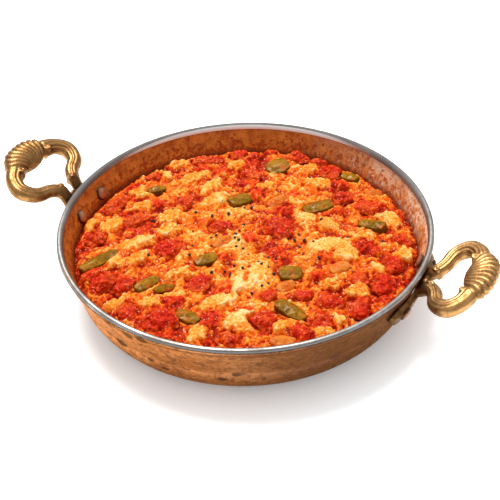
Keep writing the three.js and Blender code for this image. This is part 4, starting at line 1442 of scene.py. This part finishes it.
class MENEMEN_OT_stage(bpy.types.Operator):
    """Set the pale floor with its painted glow, the soft lights and the camera"""

    bl_idname = "menemen.stage"
    bl_label = "Floor, lights and camera"

    def execute(self, context):
        scene = context.scene
        scene.view_settings.view_transform = "Standard"
        scene.view_settings.look = "None"
        data = bpy.data.cameras.new("camera")
        data.sensor_width, data.lens = 36, CAMERA_LENS
        data.clip_start, data.clip_end = 0.05, 20
        right, up, forward = camera_axes()
        camera = scene.camera = added("camera", data)
        camera.location = from_camera(0, -CAMERA_DISTANCE * math.cos(CAMERA_RISE),
                                      CAMERA_DISTANCE * math.sin(CAMERA_RISE) + CAMERA_HEIGHT)
        camera.rotation_euler = Matrix((right, up, -forward)).transposed().to_euler()
        corners = [(FLOOR_HALF * x, FLOOR_HALF * y, -0.3)
                   for x, y in ((-1, -1), (1, -1), (1, 1), (-1, 1))]
        mesh_object("floor", corners, [(0, 1, 2, 3)], FINISHES["floor"])
        sun = bpy.data.lights.new("key", "SUN")
        sun.energy, sun.angle, sun.color = 2.7, math.radians(26), (1, 0.985, 0.96)
        key = added("key", sun)
        key.rotation_euler = (-from_camera(-0.16, 0.34, 1.0)).to_track_quat("-Z", "Y").to_euler()
        panel = bpy.data.lights.new("glint", "AREA")
        panel.size, panel.energy = 0.16, 3.0
        glint = added("glint", panel)
        glint.location = from_camera(-0.2, 0.62, 0.85)
        aim = Vector((0, 0, 0.03)) - glint.location
        glint.rotation_euler = aim.to_track_quat("-Z", "Y").to_euler()
        self.sky(scene)
        return {"FINISHED"}

    def sky(self, scene):
        world = bpy.data.worlds.new("soft studio")
        scene.world = world
        world.use_nodes = True
        tree = world.node_tree
        tree.nodes.clear()
        height = out(tree, "ShaderNodeTexCoord", output="Generated").parts()[2]
        shade = height.ramp((0.0, (0.50, 0.50, 0.51)), (0.2, (0.62, 0.62, 0.63)),
                            (0.55, (0.98, 0.98, 0.98)), (1.0, (1.0, 1.0, 1.0)))
        background = out(tree, "ShaderNodeBackground", {"Color": shade, "Strength": 0.70})
        put(tree, "ShaderNodeOutputWorld", {"Surface": background})


class MENEMEN_PT_parts(bpy.types.Panel):
    """Lists the pieces of the object"""

    bl_label = "Menemen"
    bl_idname = "MENEMEN_PT_parts"
    bl_space_type = "VIEW_3D"
    bl_region_type = "UI"
    bl_category = "Menemen"

    def draw(self, context):
        for group in (context.scene.menemen_pan, context.scene.menemen_food,
                      context.scene.menemen_finishes):
            box = self.layout.box()
            for name in group.__annotations__:
                box.prop(group, name)
        for operator in OPERATORS:
            self.layout.operator(operator.bl_idname)


OPERATORS = (
    MENEMEN_OT_stage, MENEMEN_OT_pan, MENEMEN_OT_rim, MENEMEN_OT_handles, MENEMEN_OT_rivets,
    MENEMEN_OT_egg, MENEMEN_OT_tomatoes, MENEMEN_OT_peppers, MENEMEN_OT_onions,
    MENEMEN_OT_pepper_grains)
GROUPS = {"menemen_pan": PanSizes, "menemen_food": FoodSizes, "menemen_finishes": Finishes}


def register():
    for name, group in GROUPS.items():
        bpy.utils.register_class(group)
        setattr(bpy.types.Scene, name, PointerProperty(type=group))
    for item in (*OPERATORS, MENEMEN_PT_parts):
        bpy.utils.register_class(item)


def unregister():
    for item in (*OPERATORS, MENEMEN_PT_parts):
        bpy.utils.unregister_class(item)
    for name, group in GROUPS.items():
        delattr(bpy.types.Scene, name)
        bpy.utils.unregister_class(group)


def main():
    register()
    make_effects()
    make_finishes()
    TREES["revolve"] = revolving_tree()
    TREES["scatter"] = scattering_tree()
    bpy.ops.menemen.stage()
    bpy.ops.menemen.pan()
    bpy.ops.menemen.rim()
    bpy.ops.menemen.handles()
    bpy.ops.menemen.rivets()
    bpy.ops.menemen.egg()
    bpy.ops.menemen.tomatoes()
    bpy.ops.menemen.peppers()
    bpy.ops.menemen.onions()
    bpy.ops.menemen.pepper_grains()
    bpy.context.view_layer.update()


if __name__ == "__main__":
    main()
